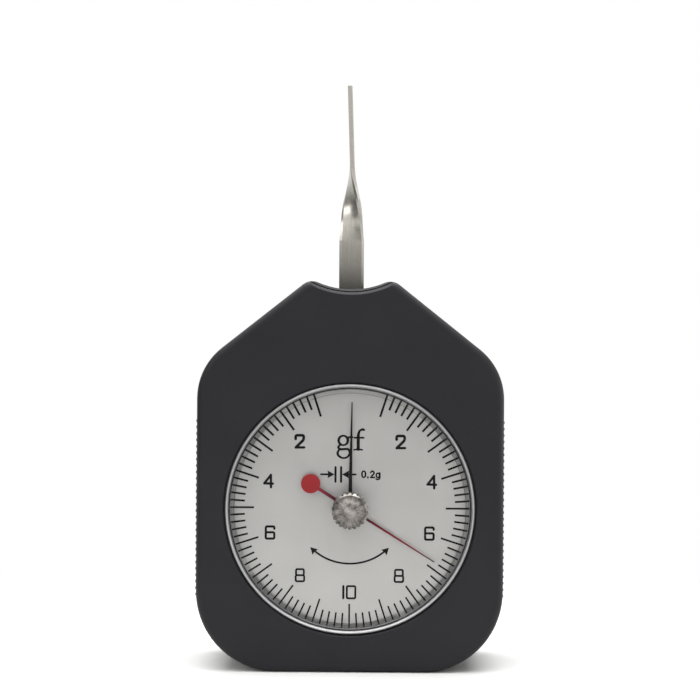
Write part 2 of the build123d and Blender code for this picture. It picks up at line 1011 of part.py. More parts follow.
def spring_block():
    """Slotted block on the front plate that clamps the foot of the leaf."""
    outline = Pos(0, block_bottom + block_height / 2) * Rectangle(2 * block_half_width, block_height)
    body = slab(outline, front_plate_back, front_plate_back + block_depth)
    slot_height = block_bottom + block_height + overrun - leaf_bottom
    slot = Pos(0, leaf_bottom + slot_height / 2) * Rectangle(leaf_thickness, slot_height)
    body -= slab(slot, leaf_front, front_plate_back + block_depth + overrun)
    for x, height in block_screw_places():
        body -= rod(block_screw_radius, dial_back, dial_back + block_screw_length + open_gap, x, height)
    return body


def block_screw_places():
    """Where the two block screws stand."""
    height = block_bottom + block_height / 2
    return [(-block_screw_side, height), (block_screw_side, height)]


def block_screws():
    """Two countersunk screws through the front plate into the block."""
    return group(
        turned(
            [
                (0, dial_back),
                (block_screw_head_radius, dial_back),
                (block_screw_radius, dial_back + block_screw_head_depth),
                (block_screw_radius, dial_back + block_screw_length),
                (0, dial_back + block_screw_length),
            ],
            x,
            height,
        )
        for x, height in block_screw_places()
    )


# Hairspring


def hairspring_collet():
    """Collar on the pointer arbor that holds the inner end of the hairspring."""
    ring = Circle(collet_radius) - Circle(arbor_radius)
    return slab(Pos(0, dial_height) * ring, collet_front, collet_front + collet_height)


def half_turns(side):
    """One side of the coiled ribbon, as half circles that grow by half a pitch."""
    first = collet_radius + fit_gap + (1 + side) * hairspring_thickness / 2 + hairspring_pitch / 4
    arcs = []
    for index in range(hairspring_half_turns):
        sign = 1 if index % 2 == 0 else -1
        center = (-sign * hairspring_pitch / 4, 0)
        arcs.append(CenterArc(center, first + index * hairspring_pitch / 2, 90 - sign * 90, 180))
    return arcs


def hairspring():
    """Flat coiled ribbon that takes up the play of the gears."""
    inner = half_turns(-1)
    outer = half_turns(1)
    edges = inner + outer + [Line(inner[0] @ 0, outer[0] @ 0), Line(inner[-1] @ 1, outer[-1] @ 1)]
    front = collet_front + (collet_height - hairspring_width) / 2
    return slab(Pos(0, dial_height) * make_face(edges), front, front + hairspring_width)


def hairspring_stud():
    """Post on the front plate that holds the outer end of the hairspring."""
    last = half_turns(0)[-1] @ 1
    height = dial_height + last.Y + stud_radius
    return rod(stud_radius, front_plate_back, collet_front + collet_height, last.X, height)


# Movement frame


def pillar_places():
    """Where the pillars stand between the plates."""
    return four_places(pillar_side, pillar_low, pillar_high)


def front_plate():
    """Plate behind the dial that carries the movement."""
    outline = rounded_plate(plate_half_width, plate_bottom, plate_top, plate_corner_radius)
    body = slab(outline, dial_back, front_plate_back)
    holes = [(mount_screw_radius + running_gap, x, height) for x, height in mount_places()]
    holes += [(dial_foot_radius, side * dial_foot_offset, dial_height) for side in (-1, 1)]
    holes.append((arbor_front_radius + fit_gap + bush_wall, 0, dial_height))
    holes.append((lever_pivot_radius + fit_gap + bush_wall, 0, lever_height))
    for radius, x, height in holes:
        body -= rod(radius, dial_back, front_plate_back, x, height)
    return body - list(block_screws().solids())


def back_plate():
    """Plate that carries the back ends of the arbors."""
    outline = rounded_plate(back_plate_half_width, back_plate_bottom, plate_top, plate_corner_radius)
    body = slab(outline, back_plate_front, back_plate_back)
    holes = [(plate_screw_radius + running_gap, x, height) for x, height in pillar_places()]
    holes.append((arbor_pivot_radius + fit_gap + bush_wall, 0, dial_height))
    holes.append((lever_pivot_radius + fit_gap + bush_wall, 0, lever_height))
    for radius, x, height in holes:
        body -= rod(radius, back_plate_front, back_plate_back, x, height)
    return body - list(stop_pins().solids())


def plate_pillars():
    """Four pillars between the plates, drilled for the screws at the back."""
    depth = pillar_screw_length - plate_thickness + open_gap
    return group(
        rod(pillar_radius, front_plate_back, back_plate_front, x, height)
        - rod(plate_screw_radius, back_plate_front - depth, back_plate_front, x, height)
        for x, height in pillar_places()
    )


def pillar_screws():
    """Four screws that hold the back plate on the pillars."""
    return group(
        headed_screw(
            plate_screw_radius,
            pillar_screw_length,
            plate_screw_head_radius,
            plate_screw_head_height,
            back_plate_back,
            x,
            height,
            False,
        )
        for x, height in pillar_places()
    )


def movement_screws():
    """Four screws that hold the movement to the front wall."""
    return group(
        headed_screw(
            mount_screw_radius,
            plate_thickness + mount_screw_bite,
            mount_screw_head_radius,
            mount_screw_head_height,
            front_plate_back,
            x,
            height,
            False,
        )
        for x, height in mount_places()
    )


parts = {
    "front_case": front_case(),
    "rear_cover": rear_cover(),
    "cover_screws": cover_screws(),
    "bezel_ring": bezel_ring(),
    "crystal": crystal(),
    "crystal_bush": crystal_bush(),
    "dial_plate": dial_plate(),
    "front_plate": front_plate(),
    "back_plate": back_plate(),
    "plate_pillars": plate_pillars(),
    "pillar_screws": pillar_screws(),
    "movement_screws": movement_screws(),
    "pointer_bushes": bush_pair(arbor_front_radius, arbor_pivot_radius, dial_height),
    "lever_bushes": bush_pair(lever_pivot_radius, lever_pivot_radius, lever_height),
    "stop_pins": stop_pins(),
    "spring_block": spring_block(),
    "block_screws": block_screws(),
    "leaf_spring": leaf_spring(),
    "hairspring": hairspring(),
    "hairspring_stud": hairspring_stud(),
    "lever_arbor": lever_arbor(),
    "feeler_holder": feeler_holder(),
    "feeler": feeler(),
    "clamp_plate": clamp_plate(),
    "clamp_screws": clamp_screws(),
    "spring_pins": spring_pins(),
    "sector_gear": sector_gear(),
    "pointer_arbor": pointer_arbor(),
    "pinion": pinion(),
    "hairspring_collet": hairspring_collet(),
    "pointer_hub": pointer_hub(),
    "main_pointer": main_pointer(),
    "reset_knob": reset_knob(),
    "knob_stem": knob_stem(),
    "friction_washer": friction_washer(),
    "peak_hub": peak_hub(),
    "peak_pointer": peak_pointer(),
    "drive_pin": drive_pin(),
}

os.makedirs("parts", exist_ok=True)
for name, shape in parts.items():
    export_step(shape, f"parts/{name}.step")
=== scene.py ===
"""The looks of a pocket dial tension gauge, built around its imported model.

Lengths are written in millimetres and turned to metres by MM where they reach a mesh or a material.
+X is to the right of the dial, +Y runs from the dial to the back and +Z runs up to the feeler.
"""

import logging
import math
from collections.abc import Iterable, Sequence
from dataclasses import dataclass, replace
from enum import Enum

import bmesh
import bpy
from bmesh.types import BMEdge, BMesh, BMVert
from bpy.types import ID, Curve, Material, Node, NodeSocket, NodeTree, Object
from mathutils import Matrix, Vector


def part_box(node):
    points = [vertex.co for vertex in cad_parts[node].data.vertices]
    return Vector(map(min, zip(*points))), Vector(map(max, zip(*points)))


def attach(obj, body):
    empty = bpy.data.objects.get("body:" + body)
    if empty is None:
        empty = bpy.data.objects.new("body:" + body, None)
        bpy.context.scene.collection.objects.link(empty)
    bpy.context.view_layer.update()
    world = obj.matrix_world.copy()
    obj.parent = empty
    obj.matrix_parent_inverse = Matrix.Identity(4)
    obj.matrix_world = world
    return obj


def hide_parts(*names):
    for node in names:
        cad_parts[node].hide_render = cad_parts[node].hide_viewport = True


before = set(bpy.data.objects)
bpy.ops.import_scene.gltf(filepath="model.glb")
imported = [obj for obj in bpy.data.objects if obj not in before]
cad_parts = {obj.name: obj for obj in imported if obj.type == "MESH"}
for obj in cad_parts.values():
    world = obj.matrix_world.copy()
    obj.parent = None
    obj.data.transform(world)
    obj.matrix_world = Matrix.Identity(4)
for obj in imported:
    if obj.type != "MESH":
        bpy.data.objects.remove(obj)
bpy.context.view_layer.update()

LOG = logging.getLogger("dial_gauge")
MM = 0.001
TO_METRES = Matrix.Scale(MM, 4)
WHITE = "#ffffff"
# Nearly all of a noise pattern's values lie in this span.
NOISE_SPAN = {"From Min": 0.3, "From Max": 0.7}

Point = tuple[float, float]
Place = tuple[float, float, float]
Knot = tuple[Vector, Vector, Vector, float]


class Body(Enum):
    """The bodies that carry the pieces made here."""

    CASE = "case"
    LEVER = "lever"


class Grain(Enum):
    """How a metal surface was worked."""

    BRUSHED = "along the strip"
    TURNED = "round the dial's axis"
    # Spokes stand for the sheen of a turned face: a painted highlight, not tool marks.
    SPOKED = "out from the dial's axis"
    TUMBLED = "the same every way"


class Drive(Enum):
    """The recess in a screw's head."""

    CROSS = "cross recess"
    SLOT = "straight slot"


class Facing(Enum):
    """Where a screw's head points along Y."""

    FRONT = -1
    BACK = 1


class Seat(Enum):
    """The form under a screw's head."""

    COUNTERSUNK = "cone"
    CHEESE = "flat"


class Stance(Enum):
    """How a studio card is set up."""

    ACROSS = "upright and square to the lens"
    ALONG = "upright and in line with the lens"
    FLAT = "on the floor"


class Axis(Enum):
    """The direction that a gradient runs in."""

    DEPTH = "Y"
    HEIGHT = "Z"
    RADIUS = "out from the dial's axis"


def axis_height() -> float:
    """Works out the height of the pointers' axis in millimetres, from the ring round the window."""
    low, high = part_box("bezel_ring")
    return (low.z + high.z) / 2 / MM


AXIS = axis_height()
CASE_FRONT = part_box("front_case")[0].y / MM
CRYSTAL_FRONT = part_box("crystal")[0].y / MM
DIAL_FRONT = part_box("dial_plate")[0].y / MM


def turned(degrees: float, axis: str) -> Matrix:
    """Makes a turn about one axis of the frame."""
    return Matrix.Rotation(math.radians(degrees), 4, axis)


def linear(hex_colour: str, alpha: float = 1.0) -> tuple[float, float, float, float]:
    """Turns an sRGB hex colour into linear light.

    Args:
        hex_colour: Six hex digits after a hash.
        alpha: The fourth channel, which stays as it is.

    Returns:
        Red, green, blue and alpha.
    """
    channels = [int(hex_colour[i : i + 2], 16) / 255 for i in (1, 3, 5)]
    red, green, blue = (c / 12.92 if c <= 0.04045 else ((c + 0.055) / 1.055) ** 2.4 for c in channels)
    return red, green, blue, alpha


def add_object(name: str, data: ID) -> Object:
    """Adds an object at the origin to the scene.

    Args:
        name: Its name.
        data: Its mesh, curve, light or camera.

    Returns:
        The object.
    """
    made = bpy.data.objects.new(name, data)
    bpy.context.scene.collection.objects.link(made)
    return made


def add_mesh_object(name: str, bm: BMesh) -> Object:
    """Adds finished faces to the scene as an object.

    Args:
        name: The object's and its mesh's name.
        bm: Its faces. It is freed.

    Returns:
        The object.
    """
    mesh = bpy.data.meshes.new(name)
    bm.to_mesh(mesh)
    bm.free()
    return add_object(name, mesh)


def add_node(tree: NodeTree, kind: str, inputs: dict | None = None, **settings: str) -> Node:
    """Adds one node with its settings, values and links.

    Args:
        tree: The node tree that takes it.
        kind: The node's type name after ShaderNode.
        inputs: By an input's name or number: its value, a socket, or a node that gives its first output.
        **settings: Properties of the node.

    Returns:
        The new node.
    """
    node = tree.nodes.new("ShaderNode" + kind)
    for name, value in settings.items():
        setattr(node, name, value)
    for name, value in (inputs or {}).items():
        source = value.outputs[0] if isinstance(value, Node) else value
        if isinstance(source, NodeSocket):
            tree.links.new(source, node.inputs[name])
        else:
            node.inputs[name].default_value = source
    return node


def set_ramp(ramp: Node, stops: Sequence[tuple[float, tuple]]) -> None:
    """Sets a colour ramp's stops.

    Args:
        ramp: The colour ramp node.
        stops: Two or more places from 0 to 1 with their linear colours, in order.
    """
    elements = ramp.color_ramp.elements
    while len(elements) < len(stops):
        elements.new(0.5)
    for element, (place, colour) in zip(elements, stops):
        element.position = place
        element.color = colour


def graded(tree: NodeTree, length: NodeSocket, stops: Sequence[tuple[float, tuple]]) -> Node:
    """Adds a colour that changes with a length.

    Args:
        tree: The material's node tree.
        length: The length, in metres.
        stops: Two or more lengths in millimetres with their linear colours, in order.

    Returns:
        The colour ramp.
    """
    low, high = stops[0][0], stops[-1][0]
    share = add_node(tree, "MapRange", {"Value": length, "From Min": low * MM, "From Max": high * MM})
    ramp = add_node(tree, "ValToRGB", {"Fac": share})
    set_ramp(ramp, [((at - low) / (high - low), colour) for at, colour in stops])
    return ramp


def from_dial_axis(tree: NodeTree, place: NodeSocket) -> Node:
    """Adds the vector from the pointers' axis to a place, square to that axis and in metres."""
    flat = {0: place, 1: (1, 0, 1), 2: (0, 0, -AXIS * MM)}
    return add_node(tree, "VectorMath", flat, operation="MULTIPLY_ADD")


def length_along(tree: NodeTree, place: NodeSocket, axis: Axis) -> NodeSocket:
    """Adds the length that a gradient follows, in metres.

    Args:
        tree: The material's node tree.
        place: The object coordinates.
        axis: The direction that the gradient runs in.

    Returns:
        The length's socket.
    """
    if axis is Axis.RADIUS:
        spoke = from_dial_axis(tree, place)
        return add_node(tree, "VectorMath", {0: spoke}, operation="LENGTH").outputs["Value"]
    return add_node(tree, "SeparateXYZ", {"Vector": place}).outputs[axis.value]


def grey_along(tree: NodeTree, place: NodeSocket, axis: Axis, levels: Sequence[Point]) -> Node:
    """Adds a grey that changes along an axis.

    Args:
        tree: The material's node tree.
        place: The object coordinates.
        axis: The direction that it changes in.
        levels: Lengths in millimetres with their grey, in order.

    Returns:
        The grey's ramp.
    """
    stops = [(at, (level, level, level, 1.0)) for at, level in levels]
    return graded(tree, length_along(tree, place, axis), stops)


def seen_by_eye(tree: NodeTree) -> Node:
    """Adds a test for the rays that show the background: straight, mirrored or refracted.

    Args:
        tree: The material's or the world's node tree.

    Returns:
        A node that gives 1 for such rays and 0 for the rest.
    """
    rays = add_node(tree, "LightPath").outputs
    either = {0: rays["Is Camera Ray"], 1: rays["Is Glossy Ray"]}
    every = {0: add_node(tree, "Math", either, operation="MAXIMUM"), 1: rays["Is Transmission Ray"]}
    return add_node(tree, "Math", every, operation="MAXIMUM")


@dataclass(frozen=True)
class Finish:
    """What each finish has: a name, and a material that is built once."""

    name: str

    def material(self) -> Material:
        """Builds the material, or finds the one that is there.

        Returns:
            The material.
        """
        found = bpy.data.materials.get(self.name)
        if found:
            return found
        material = bpy.data.materials.new(self.name)
        material.use_nodes = True
        tree = material.node_tree
        tree.nodes.clear()
        place = add_node(tree, "TexCoord").outputs["Object"]
        add_node(tree, "OutputMaterial", {"Surface": self.surface(tree, place)})
        return material

    def surface(self, tree: NodeTree, place: NodeSocket) -> Node:
        """Adds the finish's own nodes.

        Args:
            tree: The material's node tree.
            place: The object coordinates.

        Returns:
            The shader.
        """
        raise NotImplementedError


@dataclass(frozen=True)
class TwoTone(Finish):
    """A finish whose colour drifts from a shade to its own tone as a pattern rises between two values."""

    colour: str
    shade: str
    tones: Point = (0.35, 0.65)

    def tone(self, tree: NodeTree, pattern: Node) -> Node:
        """Adds the colour that a pattern gives.

        Args:
            tree: The material's node tree.
            pattern: The pattern, from 0 to 1.

        Returns:
            The colour ramp.
        """
        ramp = add_node(tree, "ValToRGB", {"Fac": pattern})
        set_ramp(ramp, list(zip(self.tones, (linear(self.shade), linear(self.colour)))))
        return ramp


@dataclass(frozen=True)
class MouldedAbs(TwoTone):
    """Injection moulded ABS: an even satin skin with the mould's fine spark texture."""

    colour: str = "#17161b"
    shade: str = "#141318"
    flow_width: float = 14.0
    # The real spark grain is about 0.1 mm wide. It is drawn coarser, so that it shows.
    grain: float = 0.28
    grain_depth: float = 0.012
    bump: float = 0.5
    roughness: float = 0.5
    roughness_spread: float = 0.05
    specular: float = 0.25
    ior: float = 1.53

    def surface(self, tree: NodeTree, place: NodeSocket) -> Node:
        """Mixes two near charcoals by a broad flow mark and bumps the skin with the spark grain.

        Args:
            tree: The material's node tree.
            place: The object coordinates.

        Returns:
            The shader.
        """
        broad = {"Vector": place, "Scale": 1 / (self.flow_width * MM), "Detail": 2.0}
        flow = add_node(tree, "TexNoise", broad)
        spark = {"Vector": place, "Scale": 1 / (self.grain * MM), "Detail": 3.0, "Roughness": 0.6}
        grain = add_node(tree, "TexNoise", spark)
        matt, satin = self.roughness + self.roughness_spread, self.roughness - self.roughness_spread
        gloss = add_node(tree, "MapRange", {"Value": grain, **NOISE_SPAN, "To Min": satin, "To Max": matt})
        depth = self.grain_depth * MM
        bump = add_node(tree, "Bump", {"Height": grain, "Distance": depth, "Strength": self.bump})
        skin = {"Base Color": self.tone(tree, flow), "Roughness": gloss, "IOR": self.ior, "Normal": bump}
        return add_node(tree, "BsdfPrincipled", {**skin, "Specular IOR Level": self.specular})


@dataclass(frozen=True)
class WorkedMetal(TwoTone):
    """Bare metal with the marks of the tool that worked it."""

    colour: str = "#b9b8b4"
    shade: str = "#96948f"
    tones: Point = (0.36, 0.62)
    roughness: float = 0.3
    roughness_spread: float = 0.08
    grain: Grain = Grain.TUMBLED
    # Real tool marks are 0.01 to 0.03 mm wide. They are drawn coarser, so that they show.
    line_width: float = 0.12
    line_length: float = 12.0
    line_depth: float = 0.004
    bump: float = 0.6
    mottle_width: float = 1.1
    mottle_share: float = 0.35
    spokes: float = 6.0
    # Painted shade: a ramp of heights or radii in millimetres with the share of the colour kept there.
    ink_film_and_painted_shade: tuple[Point, ...] = ()
    painted_shade_along: Axis = Axis.HEIGHT

    def grain_place(self, tree: NodeTree, place: NodeSocket) -> Node:
        """Stretches the pattern's space along the tool's path.

        Args:
            tree: The material's node tree.
            place: The object coordinates.

        Returns:
            Coordinates in which the marks are one unit wide.
        """
        across, along = 1 / (self.line_width * MM), 1 / (self.line_length * MM)
        if self.grain in (Grain.BRUSHED, Grain.TUMBLED):
            scale = (across, across, along if self.grain is Grain.BRUSHED else across)
            return add_node(tree, "Mapping", {"Vector": place, "Scale": scale})
        turns, rings = (1.0, across) if self.grain is Grain.TURNED else (self.spokes, along)
        outward = add_node(tree, "VectorMath", {0: from_dial_axis(tree, place)}, operation="NORMALIZE")
        way = add_node(tree, "VectorMath", {0: outward, "Scale": turns}, operation="SCALE")
        radius = length_along(tree, place, Axis.RADIUS)
        reach = add_node(tree, "Math", {0: radius, 1: rings}, operation="MULTIPLY")
        lift = add_node(tree, "CombineXYZ", {"Y": reach})
        return add_node(tree, "VectorMath", {0: way, 1: lift}, operation="ADD")

    def surface(self, tree: NodeTree, place: NodeSocket) -> Node:
        """Lets the tool's marks change colour, gloss and height, over a soft mottle and under any painted
        shade.

        Args:
            tree: The material's node tree.
            place: The object coordinates.

        Returns:
            The shader.
        """
        worked = self.grain_place(tree, place)
        marks = add_node(tree, "TexNoise", {"Vector": worked, "Scale": 1.0, "Detail": 2.0})
        cloud = {"Vector": place, "Scale": 1 / (self.mottle_width * MM), "Detail": 3.0}
        mottle = add_node(tree, "TexNoise", cloud)
        blend = add_node(tree, "Mix", {0: self.mottle_share, 2: marks, 3: mottle}, data_type="FLOAT")
        colour = self.tone(tree, blend)
        # Painted shade: darkens the colour along the ramp's axis.
        if self.ink_film_and_painted_shade:
            darkened = {0: 1.0, 6: colour, 7: grey_along(tree, place, self.painted_shade_along, self.ink_film_and_painted_shade)}
            colour = add_node(tree, "Mix", darkened, data_type="RGBA", blend_type="MULTIPLY").outputs[2]
        matt, satin = self.roughness + self.roughness_spread, self.roughness - self.roughness_spread
        gloss = add_node(tree, "MapRange", {"Value": blend, **NOISE_SPAN, "To Min": matt, "To Max": satin})
        depth = self.line_depth * MM
        bump = add_node(tree, "Bump", {"Height": marks, "Distance": depth, "Strength": self.bump})
        bare = {"Base Color": colour, "Metallic": 1.0, "Roughness": gloss, "Normal": bump}
        return add_node(tree, "BsdfPrincipled", bare)


@dataclass(frozen=True)
class SatinDialPaint(TwoTone):
    """Silver dial lacquer: flake in a matt binder, so the plate is even and softly pearled."""

    colour: str = "#b7b6b4"
    shade: str = "#b0afad"
    # Real flake is about 0.03 mm wide. It is drawn coarser, so that it shows.
    flake: float = 0.22
    flake_depth: float = 0.002
    bump: float = 0.4
    cloud: float = 9.0
    cloud_share: float = 0.5
    roughness: float = 0.32
    metallic: float = 0.55

    def surface(self, tree: NodeTree, place: NodeSocket) -> Node:
        """Puts a fine flake over a barely seen cloud.

        Args:
            tree: The material's node tree.
            place: The object coordinates.

        Returns:
            The shader.
        """
        flake = add_node(tree, "TexNoise", {"Vector": place, "Scale": 1 / (self.flake * MM), "Detail": 2.0})
        cloud = add_node(tree, "TexNoise", {"Vector": place, "Scale": 1 / (self.cloud * MM), "Detail": 1.0})
        blend = add_node(tree, "Mix", {0: self.cloud_share, 2: flake, 3: cloud}, data_type="FLOAT")
        depth = self.flake_depth * MM
        bump = add_node(tree, "Bump", {"Height": flake, "Distance": depth, "Strength": self.bump})
        coat = {"Base Color": self.tone(tree, blend), "Metallic": self.metallic, "Normal": bump}
        return add_node(tree, "BsdfPrincipled", {**coat, "Roughness": self.roughness})


@dataclass(frozen=True)
class Lacquer(Finish):
    """Sprayed lacquer on a thin pointer, in shades along its needle by the distance from the axis."""

    shades: tuple[tuple[float, str], ...] = ((0.0, "#101011"), (1.0, "#101011"))
    roughness: float = 0.42
    specular: float = 0.3
    peel: float = 0.3
    peel_depth: float = 0.002
    bump: float = 0.5
    needle_angle: float = 0.0

    def surface(self, tree: NodeTree, place: NodeSocket) -> Node:
        """Shades the colour along the needle and bumps it with a faint orange peel.

        Args:
            tree: The material's node tree.
            place: The object coordinates.

        Returns:
            The shader.
        """
        turn = math.radians(self.needle_angle)
        along = {0: from_dial_axis(tree, place), 1: (math.sin(turn), 0, math.cos(turn))}
        reach = add_node(tree, "VectorMath", along, operation="DOT_PRODUCT").outputs["Value"]
        tone = graded(tree, reach, [(at, linear(shade)) for at, shade in self.shades])
        peel = add_node(tree, "TexNoise", {"Vector": place, "Scale": 1 / (self.peel * MM), "Detail": 1.0})
        depth = self.peel_depth * MM
        bump = add_node(tree, "Bump", {"Height": peel, "Distance": depth, "Strength": self.bump})
        coat = {"Base Color": tone, "Roughness": self.roughness, "Normal": bump}
        return add_node(tree, "BsdfPrincipled", {**coat, "Specular IOR Level": self.specular})


@dataclass(frozen=True)
class PrintInk(TwoTone):
    """Pad printing ink: flat black with a slightly broken film."""

    colour: str = "#191919"
    shade: str = "#0b0b0b"
    tones: Point = (0.4, 0.7)
    # The width of the ink film's thinner spots.
    ink_film_and_painted_shade: float = 0.5
    roughness: float = 0.6
    specular: float = 0.1

    def surface(self, tree: NodeTree, place: NodeSocket) -> Node:
        """Mixes the black with a thinner film in spots.

        Args:
            tree: The material's node tree.
            place: The object coordinates.

        Returns:
            The shader.
        """
        ink_film_and_painted_shade = add_node(tree, "TexNoise", {"Vector": place, "Scale": 1 / (self.ink_film_and_painted_shade * MM), "Detail": 2.0})
        coat = {"Base Color": self.tone(tree, ink_film_and_painted_shade), "Roughness": self.roughness}
        return add_node(tree, "BsdfPrincipled", {**coat, "Specular IOR Level": self.specular})


@dataclass(frozen=True)
class ClearAcrylic(Finish):
    """Cast acrylic: clear through the disc, with painted shade grey through the skirt and dark in the
    bevelled rim.

    The bands run outwards from the axis: each is a radius in millimetres, the colour there and how much of
    what lies behind it hides. The face has its own bands and the walls behind it have others.
    """

    # Painted shade on the face: a thin dark line at the skirt's inner edge, a grey skirt and a dark rim.
    face_painted_shade_bands: tuple[tuple[float, str, float], ...] = (
        (23.26, "#2c2c2d", 0.01),
        (23.32, "#1a1a1b", 0.34),
        (23.4, "#1a1a1b", 0.34),
        (23.48, "#7a7a7a", 0.08),
        (24.1, "#7a7a7a", 0.1),
        (24.18, "#161617", 0.88),
        (24.4, "#161617", 0.88),
    )
    # Painted shade and painted light on the walls behind: a faint grey, and a lighter grey on the outer
    # wall.
    wall_painted_shade_bands: tuple[tuple[float, str, float], ...] = (
        (23.3, "#2c2c2d", 0.01),
        (23.38, "#8a8a8a", 0.03),
        (24.3, "#8a8a8a", 0.04),
        (24.42, "#b0b0af", 0.5),
        (24.45, "#b0b0af", 0.5),
    )
    rim_depth: float = 0.34
    roughness: float = 0.08
    ior: float = 1.49

    def surface(self, tree: NodeTree, place: NodeSocket) -> Node:
        """Takes the face's bands down to the rim's depth and the walls' bands behind it.

        Args:
            tree: The material's node tree.
            place: The object coordinates.

        Returns:
            The shader.
        """
        radius = length_along(tree, place, Axis.RADIUS)
        front, wall = (
            graded(tree, radius, [(at, linear(shade, cover)) for at, shade, cover in bands])
            for bands in (self.face_painted_shade_bands, self.wall_painted_shade_bands)
        )
        rim_back = (CRYSTAL_FRONT + self.rim_depth) * MM
        depth = length_along(tree, place, Axis.DEPTH)
        behind = add_node(tree, "Math", {0: depth, 1: rim_back}, operation="GREATER_THAN")
        colour = add_node(tree, "Mix", {0: behind, 6: front, 7: wall}, data_type="RGBA").outputs[2]
        covers = {0: behind, 2: front.outputs["Alpha"], 3: wall.outputs["Alpha"]}
        cover = add_node(tree, "Mix", covers, data_type="FLOAT")
        clear = {"Base Color": colour, "Roughness": self.roughness, "IOR": self.ior, "Alpha": cover}
        return add_node(tree, "BsdfPrincipled", clear)


@dataclass(frozen=True)
class StudioSurface(Finish):
    """A plain stage colour that turns to flat white away from the object, for what the lens sees."""

    colour: str = "#f2f2f0"
    clear_radius: float = 50.0
    white_radius: float = 160.0

    def surface(self, tree: NodeTree, place: NodeSocket) -> Node:
        """Mixes the paint with white light by the distance from the object.

        Args:
            tree: The material's node tree.
            place: The object coordinates.

        Returns:
            The shader.
        """
        radius = add_node(tree, "VectorMath", {0: place}, operation="LENGTH").outputs["Value"]
        span = {"Value": radius, "From Min": self.clear_radius * MM, "From Max": self.white_radius * MM}
        far = add_node(tree, "MapRange", span, interpolation_type="SMOOTHSTEP")
        shown = add_node(tree, "Math", {0: far, 1: seen_by_eye(tree)}, operation="MULTIPLY")
        paint = add_node(tree, "BsdfDiffuse", {"Color": linear(self.colour)})
        white = add_node(tree, "Emission", {"Color": linear(WHITE), "Strength": 1.0})
        return add_node(tree, "MixShader", {0: shown, 1: paint, 2: white})


@dataclass(frozen=True)
class GradedCloth(Finish):
    """Studio cloth lit in a gradient: what the bare metal and the gloss mirror."""

    levels: tuple[Point, ...]
    along: Axis = Axis.HEIGHT

    def surface(self, tree: NodeTree, place: NodeSocket) -> Node:
        """Glows by its place along the gradient."""
        return add_node(tree, "Emission", {"Color": grey_along(tree, place, self.along, self.levels)})


PEAK_ANGLE = 122.0

# Moulded ABS: a dark charcoal skin, satin all over.
CASE_ABS = MouldedAbs("charcoal_moulded_abs")
# Turned metal: satin, with fine lines round the window and one soft band of light along them.
RING_METAL = WorkedMetal(
    "polished_bezel_metal", colour="#bfbfc0", shade="#b5b5b6", roughness=0.4, grain=Grain.TURNED
)
# Cast acrylic: nothing but its rim and its skirt shows, both in painted shade.
CRYSTAL_ACRYLIC = ClearAcrylic("clear_cast_acrylic")
# Silver lacquer: a pale grey, softly pearled and a little darker towards the top of the dial.
DIAL_PAINT = SatinDialPaint("satin_silver_dial_lacquer")
# Pad printing ink: flat black lines.
INK = PrintInk("black_pad_printing_ink")
# Black lacquer: a plain satin needle.
BLACK_LACQUER = Lacquer("black_pointer_lacquer", specular=0.15)
# Red lacquer: full on the disc, thin and darker along the needle.
RED_LACQUER = Lacquer(
    "red_pointer_lacquer",
    shades=((-11.4, "#8a2528"), (-7.7, "#8a2528"), (-7.2, "#7c2733"), (-4.0, "#4e1c28"), (4.0, "#48191f"),
            (8.0, "#6a2029"), (15.0, "#70262b"), (20.2, "#33231f")),
    specular=0.1,
    needle_angle=PEAK_ANGLE,
)
# Nickel plate: pale and grey spokes, a painted sheen of the turned face, over soft blots, with painted
# shade darker from the middle out to the teeth.
KNOB_NICKEL = WorkedMetal(
    "turned_nickel_plate",
    colour="#d2ccc6",
    shade="#77716c",
    tones=(0.36, 0.6),
    roughness=0.32,
    grain=Grain.SPOKED,
    line_length=2.2,
    spokes=7.0,
    mottle_width=0.9,
    mottle_share=0.6,
    ink_film_and_painted_shade=((0.0, 1.0), (0.7, 0.95), (1.4, 0.66), (2.7, 0.62), (2.95, 0.42)),
    painted_shade_along=Axis.RADIUS,
)
# Spring strip, brushed lengthwise: soft upright streaks, with painted shade darker where it comes out of
# the case.
FEELER_STEEL = WorkedMetal(
    "brushed_spring_strip",
    colour="#c2beb6",
    shade="#b0aca4",
    roughness=0.24,
    roughness_spread=0.04,
    grain=Grain.BRUSHED,
    line_width=0.16,
    line_length=9.0,
    mottle_width=2.4,
    ink_film_and_painted_shade=((78.0, 0.28), (80.5, 0.5), (83.0, 0.74), (86.5, 0.9), (88.0, 1.0)),
)
# Zinc plate on tumbled screws: an even pale grey.
SCREW_STEEL = WorkedMetal("zinc_plated_screw_steel", colour="#b4b6b8", shade="#8f9193", roughness=0.3)
# Ground steel: bright, with fine marks.
ARBOR_STEEL = WorkedMetal("ground_arbor_steel", colour="#aaa9a6", shade="#8c8b88", roughness=0.24)
# Blued steel: slate blue, with rolled lines.
SPRING_STEEL = WorkedMetal(
    "blued_spring_steel", colour="#5c6272", shade="#454a58", roughness=0.28, grain=Grain.BRUSHED
)
# Milled brass: warm yellow, with the mill's marks.
BRASS = WorkedMetal("milled_brass", colour="#b8995a", shade="#9c7f45", roughness=0.32, line_width=0.2)
# Matt floor paint: nearly white, with the gauge's soft shadow.
FLOOR_PAINT = StudioSurface("pale_studio_floor")


def dress(finish: Finish, *nodes: str) -> None:
    """Gives carried-over nodes their finish.

    Args:
        finish: The finish that they take.
        *nodes: The nodes' names.
    """
    for name in nodes:
        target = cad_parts[name]
        if not target.material_slots:
            target.data.materials.append(None)
        for slot in target.material_slots:
            slot.material = finish.material()
        LOG.info("dressed %s in %s", name, finish.name)


